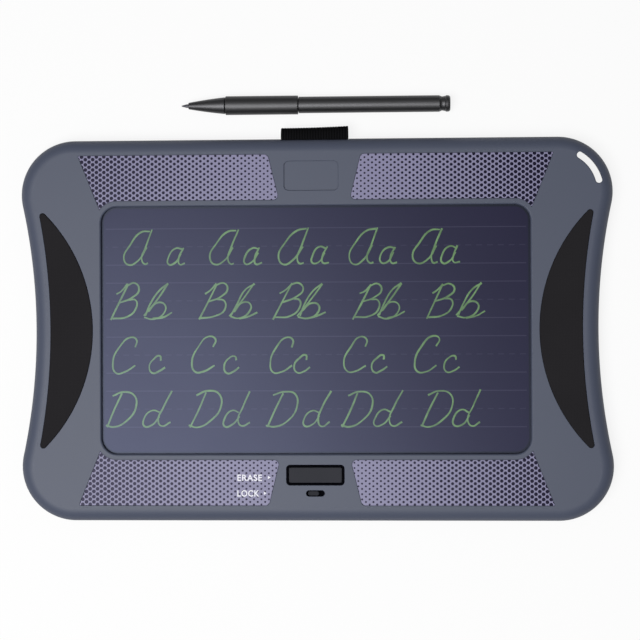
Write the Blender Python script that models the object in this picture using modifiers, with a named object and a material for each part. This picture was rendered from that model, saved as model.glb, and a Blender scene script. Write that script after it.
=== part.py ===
"""LCD writing tablet with an erase key, a lock slider, a coin cell and a loose stylus.

Metres, +Z towards the reader. The origin is the middle of the flat back face. +X runs along the
long side and +Y points to the edge that carries the elastic stylus loop.
"""

import math

import bmesh
import bpy
from mathutils import Matrix, Vector

# Screen window and housing outline
SCREEN_WIDTH = 0.188
SCREEN_HEIGHT = 0.1086
SCREEN_CORNER = 0.007
WINDOW_LIP = 0.0009
SIDE_BORDER = 0.03625
END_BORDER = 0.0297
HOUSING_CORNER = 0.024
WAIST_INSET = 0.0064
FRONT_ROUNDOVER = 0.006
BACK_ROUNDOVER = 0.0045
PARTING_BAND = 0.001

# Walls, joints between pieces and faceting
CLEARANCE = 0.0003
FRONT_WALL = 0.002
BACK_WALL = 0.0018
SIDE_WALL = 0.003
TONGUE_THICKNESS = 0.0013
TONGUE_HEIGHT = 0.0012
BOSS_WALL = 0.0011
EMBED = 0.0005
OVERCUT = 0.001
CORNER_STEPS = 10
FLANK_STEPS = 13
BELLY_STEPS = 19
SMALL_STEPS = 4
ROUND_SEGMENTS = 14
TURNED_SEGMENTS = 24
SCREW_SEGMENTS = 12
ROUNDOVER_STEPS = 4
EDGE_STEPS = 2

# Film stack behind the window
FILM_MARGIN = 0.003
FILM_THICKNESS = 0.0005
FILM_CORNER = 0.002
FOAM_THICKNESS = 0.0008
FOAM_WIDTH = 0.004
BACKING_THICKNESS = 0.0015
TAB_LENGTH = 0.008
TAB_THICKNESS = 0.0012
TAB_SPREAD_X = 0.060
TAB_SPREAD_Y = 0.030
RIB_PITCH = 0.036
RIB_THICKNESS = 0.0012
RIB_SETBACK = 0.008

# Corner panels
PANEL_SCREEN_GAP = 0.0026
PANEL_EDGE_GAP = 0.0072
PANEL_HALF_GAP = 0.0155
PANEL_INNER_SLOPE = math.radians(76.1)
PANEL_OUTER_SLOPE = math.radians(68.2)
PANEL_TIP_ANGLE = math.radians(37.7)
PANEL_CORNER = 0.002
PANEL_POINT_CORNER = 0.0004
PANEL_THICKNESS = 0.0007

# Crescent grips
GRIP_MARGIN = 0.0075
GRIP_SCREEN_GAP = 0.0038
GRIP_INNER_RADIUS = 0.073
GRIP_TIP_RADIUS = 0.0013
GRIP_RECESS = 0.001
GRIP_PROUD = 0.0003
GRIP_EDGE = 0.0004

# Badge recess and lanyard slot
BADGE_WIDTH = 0.0236
BADGE_HEIGHT = 0.0128
BADGE_EDGE_GAP = 0.0166
BADGE_DEPTH = 0.0004
LANYARD_WIDTH = 0.0029
LANYARD_WALL = 0.0009
LANYARD_DRAFT = 0.0003
LANYARD_FLARE = 0.0016
LANYARD_START = math.radians(15.0)
LANYARD_STOP = math.radians(58.6)

# Supply, board and its parts
DOOR_THICKNESS = 0.0016
DOOR_LEDGE = 0.0012
DOOR_EAR = 0.008
DOOR_EDGE_GAP = 0.0009
DOOR_CORNER = 0.002
DOOR_TAB_WIDTH = 0.004
DOOR_TAB_LENGTH = 0.0016
DOOR_TAB_THICKNESS = 0.0006
DOOR_TAB_SPREAD = 0.006
LEDGE_THICKNESS = 0.0013
PAD_MARGIN = 0.0026
CELL_RADIUS = 0.010
CELL_THICKNESS = 0.0025
CELL_SLACK = 0.0006
CELL_SCREW_GAP = 0.017
CELL_STEP = 0.0012
CONTACT_SPACE = 0.0008
CONTACT_SHEET = 0.0003
LEAF_SHEET = 0.00015
LEAF_WIDTH = 0.004
LEAF_REACH = 0.006
CLIP_ANGLE = math.radians(40.0)
BOARD_WIDTH = 0.104
BOARD_THICKNESS = 0.001
BOARD_FILM_GAP = 0.0011
BOARD_EDGE_GAP = 0.0024
BOARD_SCREW_INSET = 0.005
SWITCH_HEIGHT = 0.0016
SWITCH_FLOOR = 0.0003
CHIP_SIZE = 0.005
CHIP_HEIGHT = 0.0009
PART_GAP = 0.0035
COIL_RADIUS = 0.0025
COIL_HEIGHT = 0.0022
COIL_CELL_OFFSET = 0.006
CAPACITOR_LENGTH = 0.0032
CAPACITOR_WIDTH = 0.0016
CAPACITOR_HEIGHT = 0.0012
TAIL_WIDTH = 0.010
TAIL_SHEET = 0.0002
TAIL_DROP_SETBACK = 0.0032
TAIL_RUN = 0.0075
CONNECTOR_WIDTH = 0.014
CONNECTOR_DEPTH = 0.004

# Erase key
KEY_WIDTH = 0.0232
KEY_HEIGHT = 0.0067
KEY_CORNER = 0.0008
KEY_DROP = 0.0092
KEY_PROUD = 0.0002
KEY_EDGE = 0.0003
KEY_FLANGE = 0.0008
KEY_FLANGE_REACH = 0.0009
SURROUND_WALL = 0.00075
SURROUND_FLANGE = 0.0006
SURROUND_SINK = 0.0001
ERASE_TRAVEL = 0.0006
ERASE_SWITCH_SIZE = 0.006
STEM_RADIUS = 0.0015

# Lock slider
LOCK_DROP = 0.008
LOCK_SLOT_LENGTH = 0.0082
LOCK_SLOT_WIDTH = 0.0027
LOCK_KNOB_LENGTH = 0.0049
LOCK_KNOB_SINK = 0.0004
LOCK_END_GAP = 0.0008
LOCK_TRAVEL = 0.0021
LOCK_FLANGE = 0.0006
LOCK_FLANGE_REACH = 0.0013
LEVER_LENGTH = 0.0013
LEVER_WIDTH = 0.001
LOCK_SWITCH_LENGTH = 0.008
LOCK_SWITCH_WIDTH = 0.0032
FORK_THICKNESS = 0.0008
FORK_WIDTH = 0.002

# Fasteners
SCREW_RADIUS = 0.001
SCREW_HEAD_RADIUS = 0.002
SCREW_HEAD_HEIGHT = 0.0013
SCREW_LENGTH = 0.007
SCREW_SINK = 0.0006
SCREW_SLOT_WIDTH = 0.0006
SCREW_SLOT_DEPTH = 0.0004
BOARD_SCREW_LENGTH = 0.004
DOOR_SCREW_LENGTH = 0.004
DOOR_HEAD_HEIGHT = 0.0006
DOOR_HEAD_SINK = 0.0001
TOWER_EDGE_GAP = 0.014
TOWER_BOARD_GAP = 0.010

# Elastic stylus loop
LOOP_WIDTH = 0.0295
LOOP_REACH = 0.0058
LOOP_BAND = 0.0009
LOOP_BORE_RADIUS = 0.0032
LOOP_PIN_RADIUS = 0.001
LOOP_PIN_SETBACK = 0.0022
LOOP_STEPS = 12
PIN_RIB_WIDTH = 0.002
PIN_RIB_DEPTH = 0.0038

# Stylus, from the writing point to the end bead
STYLUS_GAP = 0.00555
STYLUS_X = 0.0003
NIB_RADIUS = 0.0008
NIB_POINT_RADIUS = 0.0003
NIB_REACH = 0.0031
NIB_SEAT = 0.006
NOSE_LENGTH = 0.0162
NOSE_FRONT_RADIUS = 0.00145
NOSE_BACK_RADIUS = 0.0037
SLEEVE_LENGTH = 0.0322
SLEEVE_RADIUS = 0.00415
SLEEVE_EDGE = 0.0003
SPIGOT_RADIUS = 0.0029
SPIGOT_TIP_RADIUS = 0.0022
SPIGOT_TIP_LENGTH = 0.004
BARREL_LENGTH = 0.0622
BARREL_RADIUS = 0.00363
CAP_NECK_LENGTH = 0.0023
CAP_NECK_RADIUS = 0.0031
CAP_BEAD_LENGTH = 0.0024
CAP_BEAD_RADIUS = 0.0036
CAP_BEAD_EDGE = 0.0005
CAP_STEM_LENGTH = 0.005
CAP_STEM_RADIUS = 0.0016

# Heights above the back face, stacked from the battery door to the front face
CELL_LOW = DOOR_THICKNESS + CLEARANCE
CELL_HIGH = CELL_LOW + CELL_THICKNESS
BOARD_LOW = CELL_HIGH + CONTACT_SPACE
BOARD_HIGH = BOARD_LOW + BOARD_THICKNESS
SWITCH_LOW = BOARD_HIGH + CLEARANCE
SWITCH_HIGH = SWITCH_LOW + SWITCH_HEIGHT
STEM_HIGH = SWITCH_HIGH + ERASE_TRAVEL
KEY_LOW = STEM_HIGH + CLEARANCE
KEY_FLANGE_HIGH = KEY_LOW + KEY_FLANGE
SURROUND_LOW = KEY_FLANGE_HIGH + CLEARANCE
SURROUND_FLANGE_HIGH = SURROUND_LOW + SURROUND_FLANGE
FACE_LOW = SURROUND_FLANGE_HIGH + CLEARANCE
FACE_HIGH = FACE_LOW + FRONT_WALL
PARTING = FACE_HIGH - FRONT_ROUNDOVER - PARTING_BAND
BEZEL_LOW = PARTING + CLEARANCE / 2
COVER_HIGH = PARTING - CLEARANCE / 2
TONGUE_HIGH = COVER_HIGH + TONGUE_HEIGHT
LEDGE_LOW = DOOR_THICKNESS + CLEARANCE
LEDGE_HIGH = LEDGE_LOW + LEDGE_THICKNESS
FILM_HIGH = FACE_LOW - CLEARANCE
FILM_LOW = FILM_HIGH - FILM_THICKNESS
FOAM_HIGH = FILM_LOW - CLEARANCE
FOAM_LOW = FOAM_HIGH - FOAM_THICKNESS
BACKING_HIGH = FOAM_LOW - CLEARANCE
BACKING_LOW = BACKING_HIGH - BACKING_THICKNESS
GRIP_LOW = FACE_HIGH - GRIP_RECESS + CLEARANCE
PANEL_LOW = FACE_HIGH - PANEL_THICKNESS

# Plan sizes that follow from the driving dimensions
BODY_WIDTH = SCREEN_WIDTH + 2 * SIDE_BORDER
BODY_HEIGHT = SCREEN_HEIGHT + 2 * END_BORDER
TOP_EDGE = BODY_HEIGHT / 2
CORNER_CENTRE = (BODY_WIDTH / 2 - HOUSING_CORNER, TOP_EDGE - HOUSING_CORNER)
CORNER_TO_WAIST = HOUSING_CORNER - WAIST_INSET
FLANK_RADIUS = (CORNER_TO_WAIST**2 + CORNER_CENTRE[1] ** 2 - HOUSING_CORNER**2) / (2 * WAIST_INSET)
FLANK_CENTRE = (BODY_WIDTH / 2 - WAIST_INSET + FLANK_RADIUS, 0.0)
FLANK_ANGLE = math.asin(CORNER_CENTRE[1] / (FLANK_RADIUS + HOUSING_CORNER))
WINDOW_CORNER_CENTRE = (SCREEN_WIDTH / 2 - SCREEN_CORNER, SCREEN_HEIGHT / 2 - SCREEN_CORNER)
FILM_WIDTH = SCREEN_WIDTH + 2 * FILM_MARGIN
FILM_HEIGHT = SCREEN_HEIGHT + 2 * FILM_MARGIN
KEY_Y = -(SCREEN_HEIGHT / 2 + KEY_DROP)
LOCK_Y = KEY_Y - LOCK_DROP
LOCK_X = -LOCK_SLOT_LENGTH / 2 + LOCK_END_GAP + LOCK_KNOB_LENGTH / 2
BOARD_TOP = -(FILM_HEIGHT / 2 + BOARD_FILM_GAP)
BOARD_BOTTOM = -(TOP_EDGE - SIDE_WALL - BOARD_EDGE_GAP)
BOARD_Y = (BOARD_TOP + BOARD_BOTTOM) / 2
BOARD_SCREW_X = BOARD_WIDTH / 2 - BOARD_SCREW_INSET
SCREW_HOLE_RADIUS = SCREW_RADIUS + CLEARANCE
BOSS_RADIUS = SCREW_HOLE_RADIUS + BOSS_WALL
COUNTERBORE_RADIUS = SCREW_HEAD_RADIUS + CLEARANCE
TOWER_RADIUS = COUNTERBORE_RADIUS + BOSS_WALL
SCREW_SEAT = SCREW_SINK + SCREW_HEAD_HEIGHT
TOWER_X = BOARD_WIDTH / 2 + TOWER_BOARD_GAP
TOWER_Y = TOP_EDGE - TOWER_EDGE_GAP
CHIP_X = -(BOARD_SCREW_X - SCREW_HEAD_RADIUS - PART_GAP - CHIP_SIZE / 2)
TAIL_X = CHIP_X + CHIP_SIZE / 2 + PART_GAP + CONNECTOR_WIDTH / 2
CELL_X = BOARD_SCREW_X - CELL_SCREW_GAP
COIL_X = CELL_X - COIL_CELL_OFFSET
CAPACITOR_X = COIL_X + COIL_RADIUS + PART_GAP + CAPACITOR_LENGTH / 2
CELL_HOLE_RADIUS = CELL_RADIUS + CELL_SLACK
DOOR_HALF_HEIGHT = CELL_HOLE_RADIUS + DOOR_LEDGE
DOOR_WIDTH = 2 * DOOR_HALF_HEIGHT + DOOR_EAR
CELL_Y = -(TOP_EDGE - BACK_ROUNDOVER - DOOR_EDGE_GAP - DOOR_HALF_HEIGHT)
DOOR_X = CELL_X - DOOR_EAR / 2
DOOR_RIGHT = CELL_X + DOOR_HALF_HEIGHT
DOOR_SCREW_X = CELL_X - DOOR_HALF_HEIGHT - DOOR_EAR / 2
DOOR_SCREW_SEAT = DOOR_HEAD_SINK + DOOR_HEAD_HEIGHT
LANYARD_RADIUS = (HOUSING_CORNER - SIDE_WALL - CLEARANCE - LANYARD_WALL - LANYARD_DRAFT
                  - LANYARD_WIDTH / 2)
LOOP_PIN_Y = TOP_EDGE - SIDE_WALL - LOOP_PIN_SETBACK
LOOP_END_Y = TOP_EDGE + LOOP_REACH - LOOP_BAND - LOOP_BORE_RADIUS
LOOP_EYE_RADIUS = LOOP_PIN_RADIUS + CLEARANCE
PIN_RIB_X = LOOP_WIDTH / 2 + 2 * CLEARANCE
STYLUS_Y = TOP_EDGE + LOOP_REACH + STYLUS_GAP + SLEEVE_RADIUS
STYLUS_LENGTH = (NIB_REACH + NOSE_LENGTH + SLEEVE_LENGTH + BARREL_LENGTH + CAP_NECK_LENGTH
                 + CAP_BEAD_LENGTH + 2 * CLEARANCE)

SIDE_VIEW = (math.pi / 2, 0.0, math.pi / 2)
SHARP_ANGLE = math.radians(35.0)

for stale in list(bpy.data.objects):
    bpy.data.objects.remove(stale, do_unlink=True)


def make_collection(name):
    """A new collection in the scene."""
    collection = bpy.data.collections.new(name)
    bpy.context.scene.collection.children.link(collection)
    return collection


PARTS = make_collection("lcd_writing_tablet")
CUTTERS = make_collection("cutters")


def make_finish(name, colour, roughness, metallic=0.0):
    """A Principled material."""
    finish = bpy.data.materials.new(name)
    finish.use_nodes = True
    shader = finish.node_tree.nodes["Principled BSDF"]
    shader.inputs["Base Color"].default_value = (*colour, 1.0)
    shader.inputs["Roughness"].default_value = roughness
    shader.inputs["Metallic"].default_value = metallic
    return finish


def finished(piece, colour, roughness, metallic=0.0):
    """Give a piece its own material and return it."""
    piece.data.materials.clear()
    piece.data.materials.append(make_finish(piece.name + "_finish", colour, roughness, metallic))
    return piece


def place(name, mesh, tool=False):
    """A new object for a mesh, either a part or a hidden cutting or joining tool."""
    piece = bpy.data.objects.new(name, mesh)
    if tool:
        CUTTERS.objects.link(piece)
        piece.hide_render = True
        piece.display_type = "WIRE"
    else:
        PARTS.objects.link(piece)
    return piece


def evaluated_mesh(piece):
    """The mesh that an object shows once its modifiers have run."""
    bpy.context.view_layer.update()
    depsgraph = bpy.context.evaluated_depsgraph_get()
    return bpy.data.meshes.new_from_object(piece.evaluated_get(depsgraph), depsgraph=depsgraph)


def cleaned(mesh):
    """Weld a curve's loose caps and make each flat cap one face where it can be."""
    work = bmesh.new()
    work.from_mesh(mesh)
    bmesh.ops.remove_doubles(work, verts=work.verts, dist=1e-6)
    bmesh.ops.dissolve_limit(work, angle_limit=1e-4, verts=work.verts, edges=work.edges)
    bmesh.ops.recalc_face_normals(work, faces=work.faces)
    work.to_mesh(mesh)
    work.free()
    return mesh


def without_repeats(outline):
    """An outline with no point that repeats the one before it."""
    return [point for i, point in enumerate(outline)
            if (Vector(point) - Vector(outline[i - 1])).length > 1e-7]


def drawn_curve(name, outlines, depth, closed):
    """A flat curve object with the given outlines and extruded depth."""
    curve = bpy.data.curves.new(name, "CURVE")
    curve.dimensions = "2D"
    curve.fill_mode = "BOTH" if closed else "NONE"
    curve.extrude = depth / 2
    for outline in outlines:
        points = without_repeats(outline) if closed else outline
        spline = curve.splines.new("POLY")
        spline.points.add(len(points) - 1)
        for target, (x, y) in zip(spline.points, points):
            target.co = (x, y, 0.0, 1.0)
        spline.use_cyclic_u = closed
    drawn = bpy.data.objects.new(name + "_outline", curve)
    CUTTERS.objects.link(drawn)
    return drawn


def mesh_from_curve(drawn, name, tool):
    """Turn a drawn curve into a mesh object in the same place, and remove the curve."""
    mesh = cleaned(evaluated_mesh(drawn))
    piece = place(name, mesh, tool)
    piece.matrix_world = drawn.matrix_world.copy()
    curve = drawn.data
    bpy.data.objects.remove(drawn)
    bpy.data.curves.remove(curve)
    return piece


def plate(name, outlines, low, high, tool=False):
    """A flat plate between two heights: its edge outline, then the outlines of any holes."""
    drawn = drawn_curve(name, outlines, high - low, True)
    drawn.location.z = (low + high) / 2
    return mesh_from_curve(drawn, name, tool)


def side_plate(name, outlines, width):
    """A plate drawn in the side view (Y, Z) and as wide as given along X."""
    drawn = drawn_curve(name, outlines, width, True)
    drawn.rotation_euler = SIDE_VIEW
    return mesh_from_curve(drawn, name, False)


def ribbon(name, path, width, sheet, location=(0.0, 0.0, 0.0), rotation=(0.0, 0.0, 0.0)):
    """A bent strip of sheet: a path, extruded to its width and given its thickness."""
    drawn = drawn_curve(name, [path], width, False)
    drawn.location = location
    drawn.rotation_euler = rotation
    piece = mesh_from_curve(drawn, name, False)
    thicken = piece.modifiers.new("sheet", "SOLIDIFY")
    thicken.thickness = sheet
    thicken.offset = 0.0
    return piece


def lofted_tool(name, levels):
    """A tool whose outline changes from height to height, point for point."""
    work = bmesh.new()
    rings = [[work.verts.new((x, y, height)) for x, y in outline] for outline, height in levels]
    work.faces.new(list(reversed(rings[0])))
    work.faces.new(rings[-1])
    for lower, upper in zip(rings, rings[1:]):
        for i in range(len(lower)):
            work.faces.new((lower[i - 1], lower[i], upper[i], upper[i - 1]))
    mesh = bpy.data.meshes.new(name)
    work.to_mesh(mesh)
    work.free()
    return place(name, mesh, True)


def block(name, low, high, tool=False):
    """A box between two corners."""
    return blocks(name, [(low, high)], tool)


def blocks(name, corners, tool=True):
    """Boxes between pairs of corners, in one mesh."""
    work = bmesh.new()
    for low, high in corners:
        size = Vector(high) - Vector(low)
        middle = (Vector(high) + Vector(low)) / 2
        placing = Matrix.Translation(middle) @ Matrix.Diagonal((*size, 1.0))
        bmesh.ops.create_cube(work, size=1.0, matrix=placing)
    mesh = bpy.data.meshes.new(name)
    work.to_mesh(mesh)
    work.free()
    return place(name, mesh, tool)


def rods(name, radius, low, high, centres, tool=True):
    """Upright cylinders between two heights, in one mesh."""
    work = bmesh.new()
    for x, y in centres:
        bmesh.ops.create_cone(work, cap_ends=True, segments=ROUND_SEGMENTS, radius1=radius, radius2=radius,
                              depth=high - low, matrix=Matrix.Translation((x, y, (low + high) / 2)))
    mesh = bpy.data.meshes.new(name)
    work.to_mesh(mesh)
    work.free()
    mesh.shade_smooth()
    mesh.set_sharp_from_angle(angle=SHARP_ANGLE)
    return place(name, mesh, tool)


def turned(name, profile, segments=TURNED_SEGMENTS, tool=False):
    """A turned piece: (radius, height) points down its outer side, spun about Z."""
    mesh = bpy.data.meshes.new(name)
    mesh.from_pydata([(radius, 0.0, height) for radius, height in profile],
                     [(i, i + 1) for i in range(len(profile) - 1)], [])
    piece = place(name, mesh, tool)
    spin = piece.modifiers.new("spin", "SCREW")
    spin.steps = segments
    spin.render_steps = segments
    spin.use_merge_vertices = True
    spin.merge_threshold = 1e-6
    return piece


def settled(piece):
    """Apply a piece's modifiers, so that it can be cut or copied as one plain mesh."""
    old = piece.data
    mesh = cleaned(evaluated_mesh(piece))
    piece.modifiers.clear()
    piece.data = mesh
    bpy.data.meshes.remove(old)
    mesh.shade_smooth()
    mesh.set_sharp_from_angle(angle=SHARP_ANGLE)
    return piece


def combine(piece, tool, operation):
    """Cut a piece with a tool (DIFFERENCE) or join the tool to it (UNION)."""
    step = piece.modifiers.new(tool.name, "BOOLEAN")
    step.operation = operation
    step.solver = "EXACT"
    step.object = tool


def join(piece, *tools):
    """Join tools to a piece."""
    for tool in tools:
        combine(piece, tool, "UNION")


def cut(piece, *tools):
    """Cut a piece with tools."""
    for tool in tools:
        combine(piece, tool, "DIFFERENCE")


def round_rim(piece, radius, segments, upper=True):
    """Round the upper or the lower rim of a flat plate."""
    work = bmesh.new()
    work.from_mesh(piece.data)
    weight = work.edges.layers.float.new("bevel_weight_edge")
    rim = max(v.co.z for v in work.verts) if upper else min(v.co.z for v in work.verts)
    for edge in work.edges:
        on_rim = all(abs(v.co.z - rim) < 1e-6 for v in edge.verts)
        if on_rim and abs(edge.calc_face_angle() - math.pi / 2) < 0.1:
            edge[weight] = 1.0
    work.to_mesh(piece.data)
    work.free()
    rounding = piece.modifiers.new("rim", "BEVEL")
    rounding.limit_method = "WEIGHT"
    rounding.width = radius
    rounding.segments = segments
    rounding.use_clamp_overlap = False


def arc(centre, radius, start, stop, steps):
    """Points along a circular arc, both ends included."""
    turn = (stop - start) / steps
    return [(centre[0] + radius * math.cos(start + turn * i), centre[1] + radius * math.sin(start + turn * i))
            for i in range(steps + 1)]


def flipped(outline):
    """A stretch of outline mirrored to the other side of the X axis and run backwards."""
    return [(x, -y) for x, y in reversed(outline)]


def mirrored_quarter(quarter):
    """A closed outline from its upper right quarter, which runs from the X axis to the Y axis."""
    upper = quarter + [(-x, y) for x, y in reversed(quarter)]
    return without_repeats(upper + flipped(upper))


def rounded_rectangle(width, height, radius, steps=SMALL_STEPS, centre=(0.0, 0.0)):
    """A rectangle's outline with round corners."""
    quarter = arc((width / 2 - radius, height / 2 - radius), radius, 0.0, math.pi / 2, steps)
    return [(x + centre[0], y + centre[1]) for x, y in mirrored_quarter(quarter)]


def fillet(before, corner, after, radius):
    """Points that round the corner between two straight edges."""
    corner = Vector(corner)
    back = (Vector(before) - corner).normalized()
    ahead = (Vector(after) - corner).normalized()
    half = back.angle(ahead) / 2
    centre = corner + (back + ahead).normalized() * radius / math.sin(half)
    first = corner + back * radius / math.tan(half) - centre
    last = corner + ahead * radius / math.tan(half) - centre
    start = math.atan2(first.y, first.x)
    sweep = (math.atan2(last.y, last.x) - start + math.pi) % (2 * math.pi) - math.pi
    return arc(centre, radius, start, start + sweep, SMALL_STEPS)


def mirrored(outline, side, end):
    """An outline drawn for the upper right, moved to another corner by its signs."""
    return [(side * x, end * y) for x, y in outline]


def housing_outline(inset):
    """The hourglass outline, drawn in from the housing's edge by the inset."""
    flank = arc(FLANK_CENTRE, FLANK_RADIUS + inset, math.pi + FLANK_ANGLE, math.pi - FLANK_ANGLE, FLANK_STEPS)
    corner = arc(CORNER_CENTRE, HOUSING_CORNER - inset, -FLANK_ANGLE, math.pi / 2, CORNER_STEPS)
    right = flipped(corner) + flank[1:-1] + corner
    return right + [(-x, y) for x, y in reversed(right)]


def window_outline(grow):
    """The screen window's outline, grown all round."""
    return rounded_rectangle(SCREEN_WIDTH + 2 * grow, SCREEN_HEIGHT + 2 * grow, SCREEN_CORNER + grow,
                             CORNER_STEPS)


def panel_outline(grow):
    """The upper right corner panel's outline, grown all round."""
    bottom = SCREEN_HEIGHT / 2 + PANEL_SCREEN_GAP - grow
    top = TOP_EDGE - PANEL_EDGE_GAP + grow
    bend = bottom - WINDOW_CORNER_CENTRE[1]
    inner_x = PANEL_HALF_GAP - grow / math.sin(PANEL_INNER_SLOPE)
    inner_low = (inner_x - grow / math.tan(PANEL_INNER_SLOPE), bottom)
    inner_high = (inner_low[0] + (top - bottom) / math.tan(PANEL_INNER_SLOPE), top)
    tip_radius = SCREEN_CORNER + PANEL_SCREEN_GAP
    along = Vector((math.cos(PANEL_OUTER_SLOPE), math.sin(PANEL_OUTER_SLOPE)))
    start = tip_radius * Vector((math.cos(PANEL_TIP_ANGLE), math.sin(PANEL_TIP_ANGLE)))
    start += grow * Vector((along.y, -along.x))
    reach = start.dot(along)
    offset = math.sqrt(reach**2 - start.length_squared + bend**2) - reach
    tip = start + along * offset
    rise = top - WINDOW_CORNER_CENTRE[1] - tip.y
    outer_high = (WINDOW_CORNER_CENTRE[0] + tip.x + rise / math.tan(PANEL_OUTER_SLOPE), top)
    bend_arc = arc(WINDOW_CORNER_CENTRE, bend, math.pi / 2, math.atan2(tip.y, tip.x), SMALL_STEPS + 1)
    return (fillet(inner_high, inner_low, bend_arc[0], PANEL_CORNER + grow) + bend_arc
            + fillet(bend_arc[-1], outer_high, inner_high, PANEL_POINT_CORNER + grow)
            + fillet(outer_high, inner_high, inner_low, PANEL_CORNER + grow))


def grip_outline(grow):
    """The right grip's crescent, grown all round: two arcs and a round tip at each end."""
    tip_radius = GRIP_TIP_RADIUS + grow
    outer_radius = FLANK_RADIUS + GRIP_MARGIN - grow
    inner_radius = GRIP_INNER_RADIUS + grow
    outer_x = FLANK_CENTRE[0]
    inner_x = SCREEN_WIDTH / 2 + GRIP_SCREEN_GAP + GRIP_INNER_RADIUS
    outer_reach = outer_radius + tip_radius
    inner_reach = inner_radius - tip_radius
    tip_x = (outer_x**2 - inner_x**2 - outer_reach**2 + inner_reach**2) / (2 * (outer_x - inner_x))
    tip_y = math.sqrt(inner_reach**2 - (tip_x - inner_x) ** 2)
    outer_angle = math.atan2(tip_y, tip_x - outer_x)
    inner_angle = math.atan2(tip_y, tip_x - inner_x)
    flank = arc((outer_x, 0.0), outer_radius, 2 * math.pi - outer_angle, outer_angle, FLANK_STEPS)
    tip = arc((tip_x, tip_y), tip_radius, outer_angle - math.pi, inner_angle, SMALL_STEPS + 1)
    belly = arc((inner_x, 0.0), inner_radius, inner_angle, 2 * math.pi - inner_angle, BELLY_STEPS)
    return without_repeats(flank + tip + belly + flipped(tip))


def lanyard_outline(grow, flare):
    """The lanyard slot's curved outline with round ends, grown all round and flared outwards."""
    half = (LANYARD_WIDTH + flare) / 2 + grow
    radius = LANYARD_RADIUS + flare / 2
    outer = arc(CORNER_CENTRE, radius + half, LANYARD_START, LANYARD_STOP, CORNER_STEPS)
    inner = arc(CORNER_CENTRE, radius - half, LANYARD_STOP, LANYARD_START, CORNER_STEPS)
    far_end = arc(CORNER_CENTRE, radius, LANYARD_STOP, LANYARD_STOP, 1)[0]
    near_end = arc(CORNER_CENTRE, radius, LANYARD_START, LANYARD_START, 1)[0]
    far_cap = arc(far_end, half, LANYARD_STOP, LANYARD_STOP + math.pi, SMALL_STEPS + 1)
    near_cap = arc(near_end, half, LANYARD_START + math.pi, LANYARD_START + 2 * math.pi, SMALL_STEPS + 1)
    return without_repeats(outer + far_cap + inner + near_cap)


def bezel_slot(name, grow, low, high):
    """The lanyard slot through the front moulding, drafted towards its lower side."""
    return lofted_tool(name, [(lanyard_outline(grow, LANYARD_DRAFT), low), (lanyard_outline(grow, 0.0), high)])


def cover_slot(name, grow, low, high):
    """The lanyard slot through the rear moulding, flared towards the back."""
    return lofted_tool(name, [(lanyard_outline(grow, LANYARD_FLARE), low),
                              (lanyard_outline(grow, LANYARD_DRAFT), high)])


def loop_outline(eye_radius, end_radius):
    """A belt in the side view (Y, Z) round the loop pin and out to the loop's end."""
    slope = math.asin((end_radius - eye_radius) / (LOOP_END_Y - LOOP_PIN_Y))
    end = arc((LOOP_END_Y, PARTING), end_radius, -math.pi / 2 - slope, math.pi / 2 + slope, 2 * LOOP_STEPS)
    eye = arc((LOOP_PIN_Y, PARTING), eye_radius, math.pi / 2 + slope, 3 * math.pi / 2 - slope, LOOP_STEPS)
    return end + eye


def loop_notch(name):
    """The cut in the housing's top wall that the loop comes out of."""
    eye_radius = LOOP_EYE_RADIUS + LOOP_BAND
    end_radius = LOOP_BORE_RADIUS + LOOP_BAND
    slope = math.asin((end_radius - eye_radius) / (LOOP_END_Y - LOOP_PIN_Y))
    half_height = (eye_radius + (TOP_EDGE - LOOP_PIN_Y) * math.sin(slope)) / math.cos(slope) + CLEARANCE
    half_width = LOOP_WIDTH / 2 + CLEARANCE
    return block(name, (-half_width, TOP_EDGE - SIDE_WALL - OVERCUT, PARTING - half_height),
                 (half_width, TOP_EDGE + OVERCUT, PARTING + half_height), True)


def tower_centres():
    """Where the eight housing screws stand."""
    corners = [mirrored([CORNER_CENTRE], side, end)[0] for end in (1, -1) for side in (-1, 1)]
    middles = [(side * TOWER_X, end * TOWER_Y) for end in (1, -1) for side in (-1, 1)]
    return corners + middles


def locating_tabs():
    """Corners of the blocks that hold the film stack in place from the four sides."""
    low = BACKING_LOW + CLEARANCE
    high = FACE_LOW + EMBED
    near_x = FILM_WIDTH / 2 + CLEARANCE
    near_y = FILM_HEIGHT / 2 + CLEARANCE
    half = TAB_LENGTH / 2
    corners = []
    for side in (-1, 1):
        for end in (-1, 1):
            middle = end * TAB_SPREAD_Y
            edges = sorted((side * near_x, side * (near_x + TAB_THICKNESS)))
            corners.append(((edges[0], middle - half, low), (edges[1], middle + half, high)))
            middle = side * TAB_SPREAD_X
            edges = sorted((end * near_y, end * (near_y + TAB_THICKNESS)))
            corners.append(((middle - half, edges[0], low), (middle + half, edges[1], high)))
    return corners


CORNERS = {"upper_left": (-1, 1), "upper_right": (1, 1), "lower_left": (-1, -1), "lower_right": (1, -1)}
SIDES = {"left": -1, "right": 1}
HOUSING_COLOUR = (0.105, 0.122, 0.155)
BLACK_RUBBER = (0.018, 0.018, 0.020)
BLACK_PLASTIC = (0.012, 0.012, 0.014)
STEEL = (0.55, 0.56, 0.58)


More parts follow.
